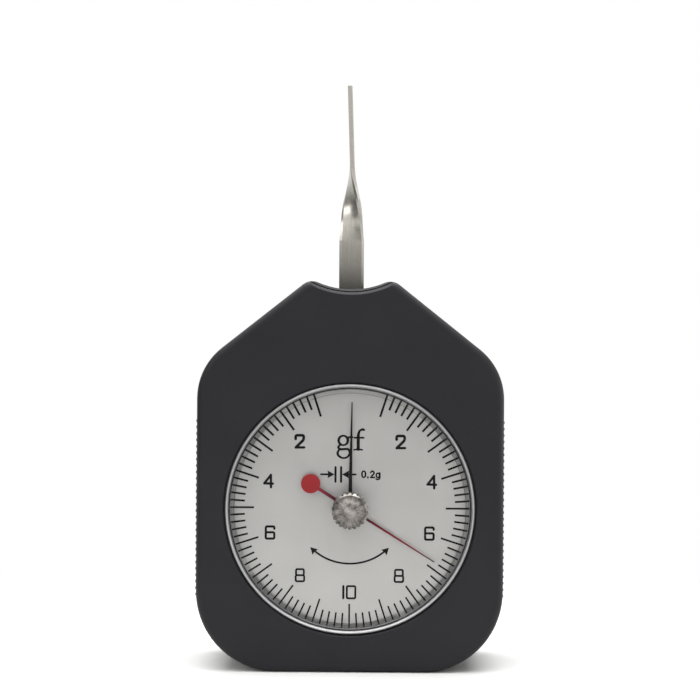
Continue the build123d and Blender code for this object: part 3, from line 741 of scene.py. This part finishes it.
def smooth_by_angle(bm: BMesh, limit: float = 35.0) -> None:
    """Shades faces smooth and keeps their sharp edges.

    Args:
        bm: The faces.
        limit: The turn in degrees from which an edge is sharp.
    """
    for face in bm.faces:
        face.smooth = True
    for edge in bm.edges:
        edge.smooth = len(edge.link_faces) == 2 and edge.calc_face_angle(0.0) < math.radians(limit)


def make_piece(
    name: str, bm: BMesh, finish: Finish, body: Body, stands_for: Iterable[str] = ()
) -> None:
    """Turns finished faces into a piece that rides on its body.

    Args:
        name: The piece's name.
        bm: Its faces, in metres and in the gauge's frame. It is freed.
        finish: The finish that it takes.
        body: The body that carries it.
        stands_for: Nodes that it stands for.
    """
    smooth_by_angle(bm)
    piece = add_mesh_object(name, bm)
    piece.data.materials.append(finish.material())
    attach(piece, body.value)
    if stands_for:
        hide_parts(*stands_for)
    LOG.info("made %s with %d faces", name, len(piece.data.polygons))


@dataclass(frozen=True)
class Stroke:
    """One pen stroke on the dial, drawn through points in millimetres from the glyph's own corner.

    A stroke with a width for each of its points curves through them. One with a single width runs straight
    between corners that are rounded by the corner radius.
    """

    points: tuple[Point, ...]
    widths: tuple[float, ...]
    closed: bool = False
    corner: float = 0.26

    @property
    def smooth(self) -> bool:
        """Whether it curves through its points."""
        return len(self.widths) > 1

    def places(self) -> list[Vector]:
        """Gives its points as places in the plane of the dial."""
        return [Vector((x, 0, z)) for x, z in self.points]


@dataclass(frozen=True)
class Pen:
    """Lays strokes of printing ink as thin domed ridges on the dial, a little wider than drawn."""

    spread: float = 0.08
    ink_height: float = 0.03
    arc_share: float = 0.55
    end_steps: tuple[Point, ...] = ((0.6, 0.8), (0.95, 0.32))
    turns: int = 4

    def corner_knots(self, stroke: Stroke) -> list[Knot]:
        """Works out a plain stroke's curve points, two at each rounded corner.

        Args:
            stroke: The stroke to round.

        Returns:
            Place, left handle, right handle and width of each curve point.
        """
        places = stroke.places()
        width = stroke.widths[0]
        found = []
        for i, place in enumerate(places):
            if not stroke.closed and i in (0, len(places) - 1):
                found.append((place, place, place, width))
                continue
            before = places[i - 1] - place
            after = places[(i + 1) % len(places)] - place
            cut = min(stroke.corner, before.length / 2, after.length / 2)
            entry = place + before.normalized() * cut
            leave = place + after.normalized() * cut
            found.append((entry, entry, entry.lerp(place, self.arc_share), width))
            found.append((leave, leave.lerp(place, self.arc_share), leave, width))
        return found

    def round_ends(self, knots: list[Knot]) -> list[Knot]:
        """Adds narrowing points before the first and after the last, so that the ends are round.

        Args:
            knots: The curve points of an open stroke.

        Returns:
            All the curve points.
        """
        rounded = list(knots)
        for end, inner in ((0, 1), (-1, -2)):
            place, width = knots[end][0], knots[end][3]
            out = (place - knots[inner][0]).normalized() * width / 2
            extra = []
            for far, share in self.end_steps:
                reached = place + out * far
                extra.append((reached, reached, reached, width * share))
            rounded = extra[::-1] + rounded if end == 0 else rounded + extra
        return rounded

    def knots(self, stroke: Stroke) -> list[Knot]:
        """Works out a stroke's curve points, with the ink's spread and its round ends.

        Args:
            stroke: The stroke.

        Returns:
            Place, left handle, right handle and width of each curve point.
        """
        if stroke.smooth:
            drawn = [(place, place, place, width) for place, width in zip(stroke.places(), stroke.widths)]
        else:
            drawn = self.corner_knots(stroke)
        spread = [(place, left, right, width + self.spread) for place, left, right, width in drawn]
        return spread if stroke.closed else self.round_ends(spread)

    def draw(self, bm: BMesh, strokes: Sequence[Stroke], corner: Point, size: Point = (1, 1)) -> None:
        """Draws strokes as curves, turns them to mesh and lays them on the dial.

        Args:
            bm: The faces that take the ink, in metres.
            strokes: The strokes of one glyph or mark.
            corner: Where the glyph's own corner lies, (x, height) in millimetres.
            size: The glyph's width and height, which scale its points.
        """
        for stroke in strokes:
            stroke = replace(stroke, points=tuple((x * size[0], z * size[1]) for x, z in stroke.points))
            knots = self.knots(stroke)
            curve = bpy.data.curves.new("ink", "CURVE")
            curve.dimensions = "3D"
            curve.resolution_u = self.turns
            # Half a unit deep, so that a point's radius is the line's width.
            curve.bevel_depth = 0.5
            curve.bevel_resolution = 1
            curve.use_fill_caps = True
            spline = curve.splines.new("BEZIER")
            spline.bezier_points.add(len(knots) - 1)
            for target, (place, left, right, width) in zip(spline.bezier_points, knots):
                target.handle_left_type = target.handle_right_type = "AUTO" if stroke.smooth else "FREE"
                target.co = place
                if not stroke.smooth:
                    target.handle_left, target.handle_right = left, right
                target.radius = width
            spline.use_cyclic_u = stroke.closed
            self.lay(bm, curve, corner)

    def lay(self, bm: BMesh, curve: Curve, corner: Point) -> None:
        """Turns a curve of ink to mesh, flattens it and adds it to the print.

        Args:
            bm: The faces that take the ink, in metres.
            curve: The curve, in millimetres. It is removed.
            corner: Where its origin lies on the dial, (x, height) in millimetres.
        """
        holder = add_object("ink", curve)
        bpy.context.view_layer.update()
        mesh = bpy.data.meshes.new_from_object(holder.evaluated_get(bpy.context.evaluated_depsgraph_get()))
        thickest = max(abs(v.co.y) for v in mesh.vertices)
        flatten = Matrix.Diagonal((1, self.ink_height / thickest, 1, 1))
        mesh.transform(TO_METRES @ Matrix.Translation((corner[0], DIAL_FRONT, corner[1])) @ flatten)
        bm.from_mesh(mesh)
        bpy.data.objects.remove(holder)
        bpy.data.meshes.remove(mesh)
        bpy.data.curves.remove(curve)


PLAIN = (0.38,)
BOLD = (0.49,)

# The numerals' strokes, as shares of the digit's width and height.
NUMERAL_GLYPHS: dict[str, tuple[Stroke, ...]] = {
    "0": (Stroke(((0, 0), (0, 1), (1, 1), (1, 0)), PLAIN, closed=True, corner=0.22),),
    "1": (Stroke(((0.5, 0), (0.5, 1)), PLAIN),),
    "2": (
        Stroke(((0, 0.7), (0, 1), (0.95, 1), (0.95, 0.64), (0.03, 0)), BOLD, corner=0.32),
        Stroke(((0.03, 0), (1, 0)), BOLD),
    ),
    "4": (
        Stroke(((0.8, 0), (0.78, 1)), BOLD),
        Stroke(((0.78, 1), (0.02, 0.31)), BOLD),
        Stroke(((0.02, 0.31), (1, 0.29)), BOLD),
    ),
    "6": (Stroke(((1, 0.82), (1, 1), (0, 1), (0, 0), (1, 0), (1, 0.52), (0, 0.52)), PLAIN),),
    "8": (
        Stroke(((0, 0), (0, 0.5), (1, 0.5), (1, 0)), PLAIN, closed=True),
        Stroke(((0.04, 0.5), (0.04, 1), (0.96, 1), (0.96, 0.5)), PLAIN, closed=True),
    ),
}

# The unit sign's strokes, in millimetres from a point under the middle of the sign.
UNIT_STROKES = (
    Stroke(
        ((-2.3, 1.85), (-1.36, 2.82), (-0.42, 1.85), (-1.36, 0.88)), (0.56, 0.36, 0.56, 0.36), closed=True
    ),
    Stroke(((-0.62, 2.3), (-0.1, 2.5), (0.42, 2.52)), (0.34, 0.44, 0.46)),
    Stroke(
        ((-1.85, 1.0), (-2.34, 0.5), (-2.06, 0.12), (-1.24, 0.08), (-0.35, 0.06), (0.06, -0.62)),
        (0.3, 0.5, 0.5, 0.46, 0.5, 0.5),
    ),
    Stroke(
        ((0.06, -0.62), (-0.4, -1.42), (-1.24, -1.72), (-2.1, -1.42), (-2.5, -0.76), (-2.06, 0.1)),
        (0.5, 0.38, 0.36, 0.44, 0.5, 0.34),
    ),
    Stroke(
        ((1.69, 0.05), (1.69, 2.3), (1.74, 3.2), (2.05, 3.9), (2.55, 4.12)), (0.58, 0.58, 0.5, 0.38, 0.38)
    ),
    Stroke(((2.5, 4.1), (2.66, 4.08), (2.84, 4.02)), (0.42, 0.6, 0.42)),
    Stroke(((0.95, 2.42), (2.75, 2.42)), (0.36,)),
    Stroke(((0.86, -0.04), (1.69, 0.08), (2.5, -0.04)), (0.3, 0.34, 0.3)),
)

# The strokes that say what a short division is worth, in millimetres from their left foot.
WORTH_STROKES = (
    Stroke(((0.15, 0.79), (0.52, 1.43), (0.88, 0.79), (0.52, 0.15)), (0.33, 0.29, 0.33, 0.29), closed=True),
    Stroke(((1.36, 0.08), (1.36, 0.24)), (0.26, 0.26)),
    Stroke(
        ((1.91, 1.14), (2.26, 1.43), (2.6, 1.08), (2.3, 0.6), (1.96, 0.17)), (0.28, 0.3, 0.33, 0.3, 0.28)
    ),
    Stroke(((1.94, 0.15), (2.68, 0.15)), (0.3, 0.3)),
    Stroke(((3.05, 0.58), (3.38, 1.02), (3.72, 0.58), (3.38, 0.14)), (0.3, 0.28, 0.3, 0.28), closed=True),
    Stroke(((3.76, 1.08), (3.77, 0.3), (3.68, -0.12), (3.36, -0.24), (3.06, -0.16)), (0.3,) * 5),
)


@dataclass(frozen=True)
class Numeral:
    """A numeral on both halves of the scale: its digits, its angle from the top and its radius."""

    digits: str
    angle: float
    radius: float


@dataclass
class DialFace:
    """The dial plate's satin skin and everything printed on it."""

    pen: Pen = Pen()
    value_step: float = 18.0
    minor_step: float = 3.6
    tick_outer: float = 24.3
    major_inner: float = 19.45
    minor_inner: float = 21.35
    tick_width_top: float = 0.44
    tick_width_foot: float = 0.33
    ink_thickness: float = 0.02
    digit_size: Point = (1.72, 2.46)
    digit_gap: float = 0.71
    numerals: tuple[Numeral, ...] = (
        Numeral("2", 37.3, 16.9),
        Numeral("4", 72.1, 17.4),
        Numeral("6", 107.5, 16.95),
        Numeral("8", 143.8, 17.0),
        Numeral("10", 180.0, 17.1),
    )
    unit_place: Point = (-0.08, 11.84)
    worth_place: Point = (2.25, 6.07)
    mark_height: float = 6.79
    mark_centre: float = -2.4
    mark_half_gap: float = 0.57
    mark_bar: float = 2.95
    mark_line: float = 0.36
    arrow_length: float = 1.45
    arrow_half_height: float = 0.78
    arrow_notch: float = 0.15
    tail_length: float = 1.3
    tail_start_share: float = 0.6
    arc_radius: float = 11.3
    arc_half_angle: float = 45.0
    arc_end_share: float = 0.7
    arc_steps: int = 8

    def tick(self, bm: BMesh, angle: float, inner: float) -> None:
        """Lays one tick, wider at the top of the dial than at its foot.

        Args:
            bm: The faces that take it.
            angle: Degrees clockwise from the top.
            inner: The radius of its inner end, in millimetres.
        """
        lean = (1 - math.cos(math.radians(angle))) / 2
        width = self.tick_width_top + (self.tick_width_foot - self.tick_width_top) * lean
        length = self.tick_outer - inner
        place = Matrix.Translation((0, DIAL_FRONT, AXIS)) @ turned(angle, "Y")
        reach = Matrix.Translation((0, 0, inner + length / 2))
        size = Matrix.Diagonal((width, 2 * self.ink_thickness, length, 1))
        bmesh.ops.create_cube(bm, size=1.0, matrix=TO_METRES @ place @ reach @ size)

    def scale(self, bm: BMesh) -> None:
        """Draws the ticks of both halves, from the first value down to the last.

        Args:
            bm: The faces that take them.
        """
        per_value = round(self.value_step / self.minor_step)
        last = round(180 / self.minor_step)
        for step in range(per_value, last + 1):
            inner = self.minor_inner if step % per_value else self.major_inner
            for side in (-1, 1) if step < last else (1,):
                self.tick(bm, side * step * self.minor_step, inner)

    def figures(self, bm: BMesh) -> None:
        """Draws the numerals of both halves.

        Args:
            bm: The faces that take them.
        """
        width, height = self.digit_size
        for numeral in self.numerals:
            turn = math.radians(numeral.angle)
            foot = AXIS + numeral.radius * math.cos(turn) - height / 2
            for side in (-1, 1) if numeral.angle < 180 else (1,):
                start = side * numeral.radius * math.sin(turn) - width / 2
                if len(numeral.digits) > 1:
                    start += self.digit_gap / 2
                    before = start - self.digit_gap - width / 2
                    self.pen.draw(bm, NUMERAL_GLYPHS[numeral.digits[0]], (before, foot), self.digit_size)
                self.pen.draw(bm, NUMERAL_GLYPHS[numeral.digits[-1]], (start, foot), self.digit_size)

    def unit(self, bm: BMesh) -> None:
        """Draws the unit sign above the pointers' axis."""
        self.pen.draw(bm, UNIT_STROKES, (self.unit_place[0], AXIS + self.unit_place[1]))

    def arrow_head(self, bm: BMesh, tip: Point, degrees: float) -> None:
        """Lays a barbed arrow head.

        Args:
            bm: The faces that take it.
            tip: Where its tip lies, (x, height) in millimetres.
            degrees: How far it is turned about Y from pointing along +X.
        """
        length, half = self.arrow_length, self.arrow_half_height
        outline = ((0, 0), (-length, half), (-length + self.arrow_notch, 0), (-length, -half))
        corners = [bm.verts.new((x, -self.ink_thickness, z)) for x, z in outline]
        grown = bmesh.ops.extrude_face_region(bm, geom=[bm.faces.new(corners)])["geom"]
        back = [v for v in grown if isinstance(v, BMVert)]
        bmesh.ops.translate(bm, vec=(0, 2 * self.ink_thickness, 0), verts=back)
        place = Matrix.Translation((tip[0], DIAL_FRONT, tip[1])) @ turned(degrees, "Y")
        bmesh.ops.transform(bm, matrix=TO_METRES @ place, verts=corners + back)
        bmesh.ops.recalc_face_normals(bm, faces=list({f for v in corners + back for f in v.link_faces}))

    def graduation(self, bm: BMesh) -> None:
        """Draws the mark that says what one short division is worth.

        Args:
            bm: The faces that take it.
        """
        middle = AXIS + self.mark_height
        half = self.mark_bar / 2
        line = (self.mark_line,)
        for side in (-1, 1):
            bar = self.mark_centre + side * self.mark_half_gap
            tip = bar + side * self.mark_line / 2
            tail = tip + side * self.arrow_length * self.tail_start_share
            end = tip + side * (self.arrow_length + self.tail_length)
            self.pen.draw(bm, [Stroke(((bar, -half), (bar, half)), line)], (0, middle))
            self.pen.draw(bm, [Stroke(((tail, 0), (end, 0)), line)], (0, middle))
            self.arrow_head(bm, (tip, middle), 0 if side < 0 else 180)
        self.pen.draw(bm, WORTH_STROKES, (self.worth_place[0], AXIS + self.worth_place[1]))

    def direction_arc(self, bm: BMesh) -> None:
        """Draws a plain double arrow along an arc below the axis: the scale reads both ways.

        Args:
            bm: The faces that take it.
        """
        reach = self.arc_half_angle
        shorter = reach - math.degrees(self.arrow_length * self.arc_end_share / self.arc_radius)
        angles = [math.radians(shorter * (2 * i / self.arc_steps - 1)) for i in range(self.arc_steps + 1)]
        points = tuple((self.arc_radius * math.sin(a), -self.arc_radius * math.cos(a)) for a in angles)
        self.pen.draw(bm, [Stroke(points, (self.mark_line,) * len(points))], (0, AXIS))
        across = self.arc_radius * math.sin(math.radians(reach))
        drop = self.arc_radius * math.cos(math.radians(reach))
        for side in (-1, 1):
            self.arrow_head(bm, (side * across, AXIS - drop), -reach if side > 0 else 180 + reach)

    def build(self) -> None:
        """Dresses the plate and prints it."""
        dress(DIAL_PAINT, "dial_plate")
        prints = {
            "scale_ticks": self.scale,
            "scale_figures": self.figures,
            "unit_sign": self.unit,
            "graduation_mark": self.graduation,
            "direction_arc": self.direction_arc,
        }
        for name, draw in prints.items():
            bm = bmesh.new()
            draw(bm)
            make_piece(name, bm, INK, Body.CASE)


@dataclass(frozen=True)
class ScrewSet:
    """A group of equal screws with a driven recess and a cut thread, in place of plain ones."""

    node: str
    name: str
    body: Body
    head_radius: float = 1.5
    head_height: float = 0.9
    shank_radius: float = 0.8
    drive: Drive = Drive.SLOT
    seat: Seat = Seat.CHEESE
    facing: Facing = Facing.BACK
    sides: int = 32
    recess_depth_share: float = 0.55
    recess_width_share: float = 0.24
    recess_reach_share: float = 0.55
    recess_taper: float = 0.55
    thread_pitch_share: float = 0.4
    thread_depth_share: float = 0.1
    edge_share: float = 0.05
    weld_share: float = 0.001
    first_turn: float = 17.0
    next_turn: float = 31.0

    def places(self) -> list[Point]:
        """Works out the screws' axes from the corners of their node's box.

        Returns:
            Each axis as (x, height) in millimetres.
        """
        low, high = (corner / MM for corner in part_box(self.node))
        inset = self.head_radius
        columns = sorted({round(low.x + inset, 3), round(high.x - inset, 3)})
        rows = sorted({round(low.z + inset, 3), round(high.z - inset, 3)})
        return [(x, z) for x in columns for z in rows]

    def profile(self, length: float) -> list[Point]:
        """Works out the line that is spun into a screw.

        Args:
            length: From the head's top to the shank's end, in millimetres.

        Returns:
            Points as (radius, depth under the head's top).
        """
        head, shank = self.head_radius, self.shank_radius
        edge = head * self.edge_share
        line = [(head - edge, 0.0), (head, edge)]
        if self.seat is Seat.CHEESE:
            line.append((head, self.head_height))
        line.append((shank, self.head_height))
        pitch = shank * self.thread_pitch_share
        core = shank * (1 - self.thread_depth_share)
        depth = self.head_height + pitch
        while depth + pitch < length - shank / 2:
            line += [(shank, depth), (core, depth + pitch / 2)]
            depth += pitch
        return line + [(shank, depth), (shank / 2, length), (0.0, length)]

    def recess(self) -> list[Point]:
        """Works out the outline of a cross recess in the head's top.

        Returns:
            Its corners about the screw's axis, in millimetres.
        """
        half = self.head_radius * self.recess_width_share / 2
        reach = self.head_radius * self.recess_reach_share
        arm = [(reach, -half), (reach, half), (half, half)]
        quarters = [Matrix.Rotation(quarter * math.pi / 2, 2) for quarter in range(4)]
        return [tuple(turn @ Vector(corner)) for turn in quarters for corner in arm]

    def sink_cross(self, bm: BMesh, rim: list[BMEdge]) -> None:
        """Closes the head's top round a tapered cross.

        Args:
            bm: The screw.
            rim: The open edges round the head's top.
        """
        top = [bm.verts.new((x, y, 0)) for x, y in self.recess()]
        loop = [bm.edges.new((a, b)) for a, b in zip(top, top[1:] + top[:1])]
        bmesh.ops.triangle_fill(bm, use_beauty=True, edges=rim + loop)
        walls = bmesh.ops.extrude_edge_only(bm, edges=loop)["geom"]
        floor = [v for v in walls if isinstance(v, BMVert)]
        bmesh.ops.scale(bm, vec=(self.recess_taper, self.recess_taper, 1), verts=floor)
        bmesh.ops.translate(bm, vec=(0, 0, -self.head_height * self.recess_depth_share), verts=floor)
        base = [e for e in walls if isinstance(e, BMEdge)]
        bmesh.ops.triangle_fill(bm, use_beauty=True, edges=base)

    def cut_slot(self, bm: BMesh) -> BMesh:
        """Cuts a straight slot right across the head.

        Args:
            bm: The closed screw. It is freed.

        Returns:
            The slotted screw.
        """
        bar = bmesh.new()
        width = self.head_radius * self.recess_width_share
        depth = self.head_height * self.recess_depth_share
        size = Matrix.Diagonal((4 * self.head_radius, width, 2 * depth, 1))
        bmesh.ops.create_cube(bar, size=1.0, matrix=size)
        holders = [add_mesh_object("part", part) for part in (bm, bar)]
        cut = holders[0].modifiers.new("cut", "BOOLEAN")
        cut.object = holders[1]
        cut.solver = "EXACT"
        bpy.context.view_layer.update()
        whole = holders[0].evaluated_get(bpy.context.evaluated_depsgraph_get())
        slotted = bmesh.new()
        slotted.from_mesh(whole.to_mesh())
        whole.to_mesh_clear()
        for holder in holders:
            mesh = holder.data
            bpy.data.objects.remove(holder)
            bpy.data.meshes.remove(mesh)
        return slotted

    def screw(self, length: float) -> BMesh:
        """Shapes one screw with its head's top at the origin and its shank along minus Z.

        Args:
            length: From the head's top to the shank's end, in millimetres.

        Returns:
            The screw, in millimetres.
        """
        bm = bmesh.new()
        line = [bm.verts.new((radius, 0, -depth)) for radius, depth in self.profile(length)]
        edges = [bm.edges.new(pair) for pair in zip(line, line[1:])]
        spin = {"cent": (0, 0, 0), "axis": (0, 0, 1), "angle": math.tau, "steps": self.sides}
        bmesh.ops.spin(bm, geom=line + edges, use_merge=True, **spin)
        bmesh.ops.remove_doubles(bm, verts=bm.verts, dist=self.shank_radius * self.weld_share)
        rim = [e for e in bm.edges if e.is_boundary]
        if self.drive is Drive.CROSS:
            self.sink_cross(bm, rim)
        else:
            bmesh.ops.triangle_fill(bm, use_beauty=True, edges=rim)
        bmesh.ops.recalc_face_normals(bm, faces=bm.faces)
        return self.cut_slot(bm) if self.drive is Drive.SLOT else bm

    def build(self) -> None:
        """Places a screw at each axis and dresses them."""
        low, high = (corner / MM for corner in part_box(self.node))
        top = high.y if self.facing is Facing.BACK else low.y
        one = self.screw(high.y - low.y)
        mesh = bpy.data.meshes.new("screw")
        one.to_mesh(mesh)
        one.free()
        bm = bmesh.new()
        for count, (x, z) in enumerate(self.places()):
            tilt = turned(-90 * self.facing.value, "X")
            turn = turned(self.first_turn + self.next_turn * count, "Z")
            copy = mesh.copy()
            copy.transform(TO_METRES @ Matrix.Translation((x, top, z)) @ tilt @ turn)
            bm.from_mesh(copy)
            bpy.data.meshes.remove(copy)
        bpy.data.meshes.remove(mesh)
        make_piece(self.name, bm, SCREW_STEEL, self.body, [self.node])


@dataclass
class Housing:
    """Front case and rear cover with the screws that join them."""

    cover_screws: ScrewSet = ScrewSet(
        "cover_screws",
        "cross_recess_screws",
        Body.CASE,
        head_radius=2.25,
        head_height=1.1,
        shank_radius=1.25,
        drive=Drive.CROSS,
        seat=Seat.COUNTERSUNK,
    )

    def build(self) -> None:
        """Dresses the shells and sets the cover screws."""
        dress(CASE_ABS, "front_case", "rear_cover")
        self.cover_screws.build()


@dataclass
class Window:
    """The bright ring, the crystal in it and the bush at its middle."""

    def build(self) -> None:
        """Dresses the ring, the crystal and the bush."""
        dress(RING_METAL, "bezel_ring")
        dress(CRYSTAL_ACRYLIC, "crystal")
        dress(KNOB_NICKEL, "crystal_bush")


@dataclass
class Indicators:
    """Both pointers and the knob that sets the red one back."""

    def build(self) -> None:
        """Dresses the pointers, their hubs and the reset knob's parts."""
        dress(BLACK_LACQUER, "main_pointer")
        dress(RED_LACQUER, "peak_pointer")
        dress(KNOB_NICKEL, "reset_knob", "knob_stem", "pointer_hub", "peak_hub", "drive_pin")
        dress(SPRING_STEEL, "friction_washer")


@dataclass
class FeelerArm:
    """The feeler strip, its holder and the arbor they swing on."""

    clamp_screws: ScrewSet = ScrewSet(
        "clamp_screws", "slotted_clamp_screws", Body.LEVER, facing=Facing.FRONT
    )

    def build(self) -> None:
        """Dresses the strip and what clamps it."""
        dress(FEELER_STEEL, "feeler")
        dress(ARBOR_STEEL, "lever_arbor", "spring_pins")
        dress(BRASS, "feeler_holder", "clamp_plate", "sector_gear")
        self.clamp_screws.build()


@dataclass
class Movement:
    """Plates, pillars, bushes, springs and the pointer's arbor inside the case."""

    pillar_screws: ScrewSet = ScrewSet("pillar_screws", "slotted_pillar_screws", Body.CASE)
    movement_screws: ScrewSet = ScrewSet(
        "movement_screws",
        "slotted_movement_screws",
        Body.CASE,
        head_radius=1.9,
        head_height=1.2,
        shank_radius=1.0,
    )

    def build(self) -> None:
        """Dresses the movement."""
        dress(BRASS, "front_plate", "back_plate", "plate_pillars", "pointer_bushes", "lever_bushes")
        dress(BRASS, "spring_block", "hairspring_stud", "hairspring_collet")
        dress(ARBOR_STEEL, "pointer_arbor", "pinion", "stop_pins")
        dress(SCREW_STEEL, "block_screws")
        self.pillar_screws.build()
        self.movement_screws.build()
        dress(SPRING_STEEL, "leaf_spring", "hairspring")


@dataclass(frozen=True)
class SoftLight:
    """A square soft light: where it hangs and what it faces in millimetres, its side and its power.

    Its own shape shows in bare metal and gloss, unless it isn't mirrored.
    """

    name: str
    place: Place
    aim: Place
    size: float
    watts: float
    mirrored: bool = True

    def hang(self) -> None:
        """Adds the light, out of the lens's sight."""
        light = bpy.data.lights.new(self.name, "AREA")
        light.size = self.size * MM
        light.energy = self.watts
        lamp = add_object(self.name, light)
        lamp.location = Vector(self.place) * MM
        lamp.rotation_euler = (Vector(self.aim) - Vector(self.place)).to_track_quat("-Z", "Y").to_euler()
        lamp.visible_camera = False
        lamp.visible_glossy = self.mirrored


@dataclass(frozen=True)
class Card:
    """A sheet that only bare metal and gloss see: its stance, its size and its middle in millimetres."""

    name: str
    stance: Stance
    size: Point
    middle: Place
    cloth: GradedCloth

    def place(self) -> Matrix:
        """Works out how a flat sheet is turned and moved.

        Returns:
            The turn and the move, in millimetres.
        """
        turn = Matrix.Identity(4) if self.stance is Stance.FLAT else turned(90, "X")
        if self.stance is Stance.ALONG:
            turn = turned(90, "Z") @ turn
        return Matrix.Translation(self.middle) @ turn


# Bright cloth before the gauge with darker cloth laid over it: the dial and the feeler mirror both.
WHITE_CLOTH = GradedCloth("white_front_cloth", ((0.0, 0.95), (120.0, 1.0), (300.0, 1.1)))
LENS_CLOTH = GradedCloth("grey_lens_cloth", ((75.0, 0.2), (105.0, 0.25), (150.0, 0.5)))
HIGH_CLOTH = GradedCloth("grey_high_cloth", ((150.0, 0.6), (270.0, 0.66)))
LOW_CLOTH = GradedCloth("dark_low_cloth", ((0.0, 0.1), (75.0, 0.04)))
MAT_CLOTH = GradedCloth(
    "graded_mat_cloth", ((-610.0, 0.1), (-480.0, 0.3), (-360.0, 0.8), (-120.0, 1.1)), along=Axis.DEPTH
)
# Cloth beside the gauge: the ring, the twist and the case's rounded edges mirror it.
FLAG_CLOTH = GradedCloth("dark_flag_cloth", ((0.0, 0.16), (80.0, 0.18), (104.0, 0.26)))
WING_CLOTH = GradedCloth(
    "graded_wing_cloth", ((-50.0, 0.4), (50.0, 0.4), (100.0, 0.7), (240.0, 0.85)), along=Axis.DEPTH
)
BRIGHT_CLOTH = GradedCloth("bright_side_cloth", ((90.0, 1.2), (120.0, 1.5), (160.0, 1.5)))
EDGE_CLOTH = GradedCloth("bright_edge_cloth", ((0.0, 1.0), (30.0, 2.2), (90.0, 2.6)))


@dataclass
class Studio:
    """Camera, lights, cards, floor and background."""

    distance: float = 315.0
    field_width: float = 140.7
    eye_height: float = 64.95
    eye_side: float = -0.2
    roll: float = 0.4
    near: float = 10.0
    far: float = 20000.0
    world_level: float = 0.5
    floor_size: Point = (6000.0, 6000.0)
    lights: tuple[SoftLight, ...] = (
        SoftLight("key", (-130, -560, 430), (0, 0, 45), 600, 1.25, mirrored=False),
        SoftLight("left_box", (-511, -295, 285), (0, 0, 95), 260, 0.33),
        SoftLight("top", (0, 20, 480), (0, 0, 60), 620, 4.2),
    )
    cards: tuple[Card, ...] = (
        Card("front_card", Stance.ACROSS, (1600, 700), (0, -620, 350), WHITE_CLOTH),
        Card("lens_card", Stance.ACROSS, (64, 75), (0, -612, 112.5), LENS_CLOTH),
        Card("high_card", Stance.ACROSS, (80, 140), (20, -612, 220), HIGH_CLOTH),
        Card("low_card", Stance.ACROSS, (340, 75), (0, -611, 37.5), LOW_CLOTH),
        Card("front_mat", Stance.FLAT, (1600, 490), (0, -365, 0.5), WHITE_CLOTH),
        Card("middle_mat", Stance.FLAT, (300, 490), (0, -365, 1.0), MAT_CLOTH),
        Card("left_flag", Stance.ALONG, (330, 94), (-200, -145, 57), FLAG_CLOTH),
        Card("left_wing", Stance.ALONG, (290, 170), (-205, 95, 125), WING_CLOTH),
        Card("right_card", Stance.ALONG, (180, 60), (200, -100, 124), BRIGHT_CLOTH),
        Card("edge_card", Stance.ALONG, (260, 88), (210, -10, 46), EDGE_CLOTH),
    )

    def set_camera(self) -> None:
        """Sets the camera square to the dial, at the height and lean of the photograph."""
        lens = bpy.data.cameras.new("camera")
        lens.lens = lens.sensor_width * self.distance / self.field_width
        lens.clip_start = self.near * MM
        lens.clip_end = self.far * MM
        eye = add_object("camera", lens)
        place = Vector((self.eye_side, CASE_FRONT - self.distance, self.eye_height)) * MM
        eye.matrix_world = Matrix.Translation(place) @ turned(90, "X") @ turned(self.roll, "Z")
        bpy.context.scene.camera = eye

    def set_world(self) -> None:
        """Shows white behind the object and lights it evenly at a plain level."""
        world = bpy.data.worlds.new("studio")
        world.use_nodes = True
        tree = world.node_tree
        tree.nodes.clear()
        fill = add_node(tree, "Background", {"Color": linear(WHITE), "Strength": self.world_level})
        plain = add_node(tree, "Background", {"Color": linear(WHITE), "Strength": 1.0})
        mixed = add_node(tree, "MixShader", {0: seen_by_eye(tree), 1: fill, 2: plain})
        add_node(tree, "OutputWorld", {"Surface": mixed})
        bpy.context.scene.world = world

    def add_sheet(self, name: str, size: Point, place: Matrix, finish: Finish) -> Object:
        """Sets up a flat sheet that belongs to the studio and not to the gauge.

        Args:
            name: Its name.
            size: Its width and its length or height, in millimetres.
            place: Where it lies or stands, in millimetres.
            finish: Its finish.

        Returns:
            The sheet.
        """
        bm = bmesh.new()
        shape = TO_METRES @ place @ Matrix.Diagonal((*size, 1, 1))
        bmesh.ops.create_grid(bm, x_segments=1, y_segments=1, size=0.5, matrix=shape)
        sheet = add_mesh_object(name, bm)
        sheet.data.materials.append(finish.material())
        return sheet

    def build(self) -> None:
        """Sets up the studio, with the cards out of sight of the lens and of matt surfaces."""
        bpy.context.scene.view_settings.view_transform = "Standard"
        self.set_camera()
        self.set_world()
        self.add_sheet("floor", self.floor_size, Matrix.Identity(4), FLOOR_PAINT)
        for card in self.cards:
            sheet = self.add_sheet(card.name, card.size, card.place(), card.cloth)
            sheet.visible_camera = False
            sheet.visible_diffuse = False
            sheet.visible_shadow = False
        for light in self.lights:
            light.hang()
        LOG.info("studio ready")


def main() -> None:
    """Builds the gauge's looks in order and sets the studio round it."""
    logging.basicConfig(level=logging.INFO, format="%(name)s: %(message)s")
    for part in (Housing(), Window(), DialFace(), Indicators(), FeelerArm(), Movement(), Studio()):
        part.build()


if __name__ == "__main__":
    main()
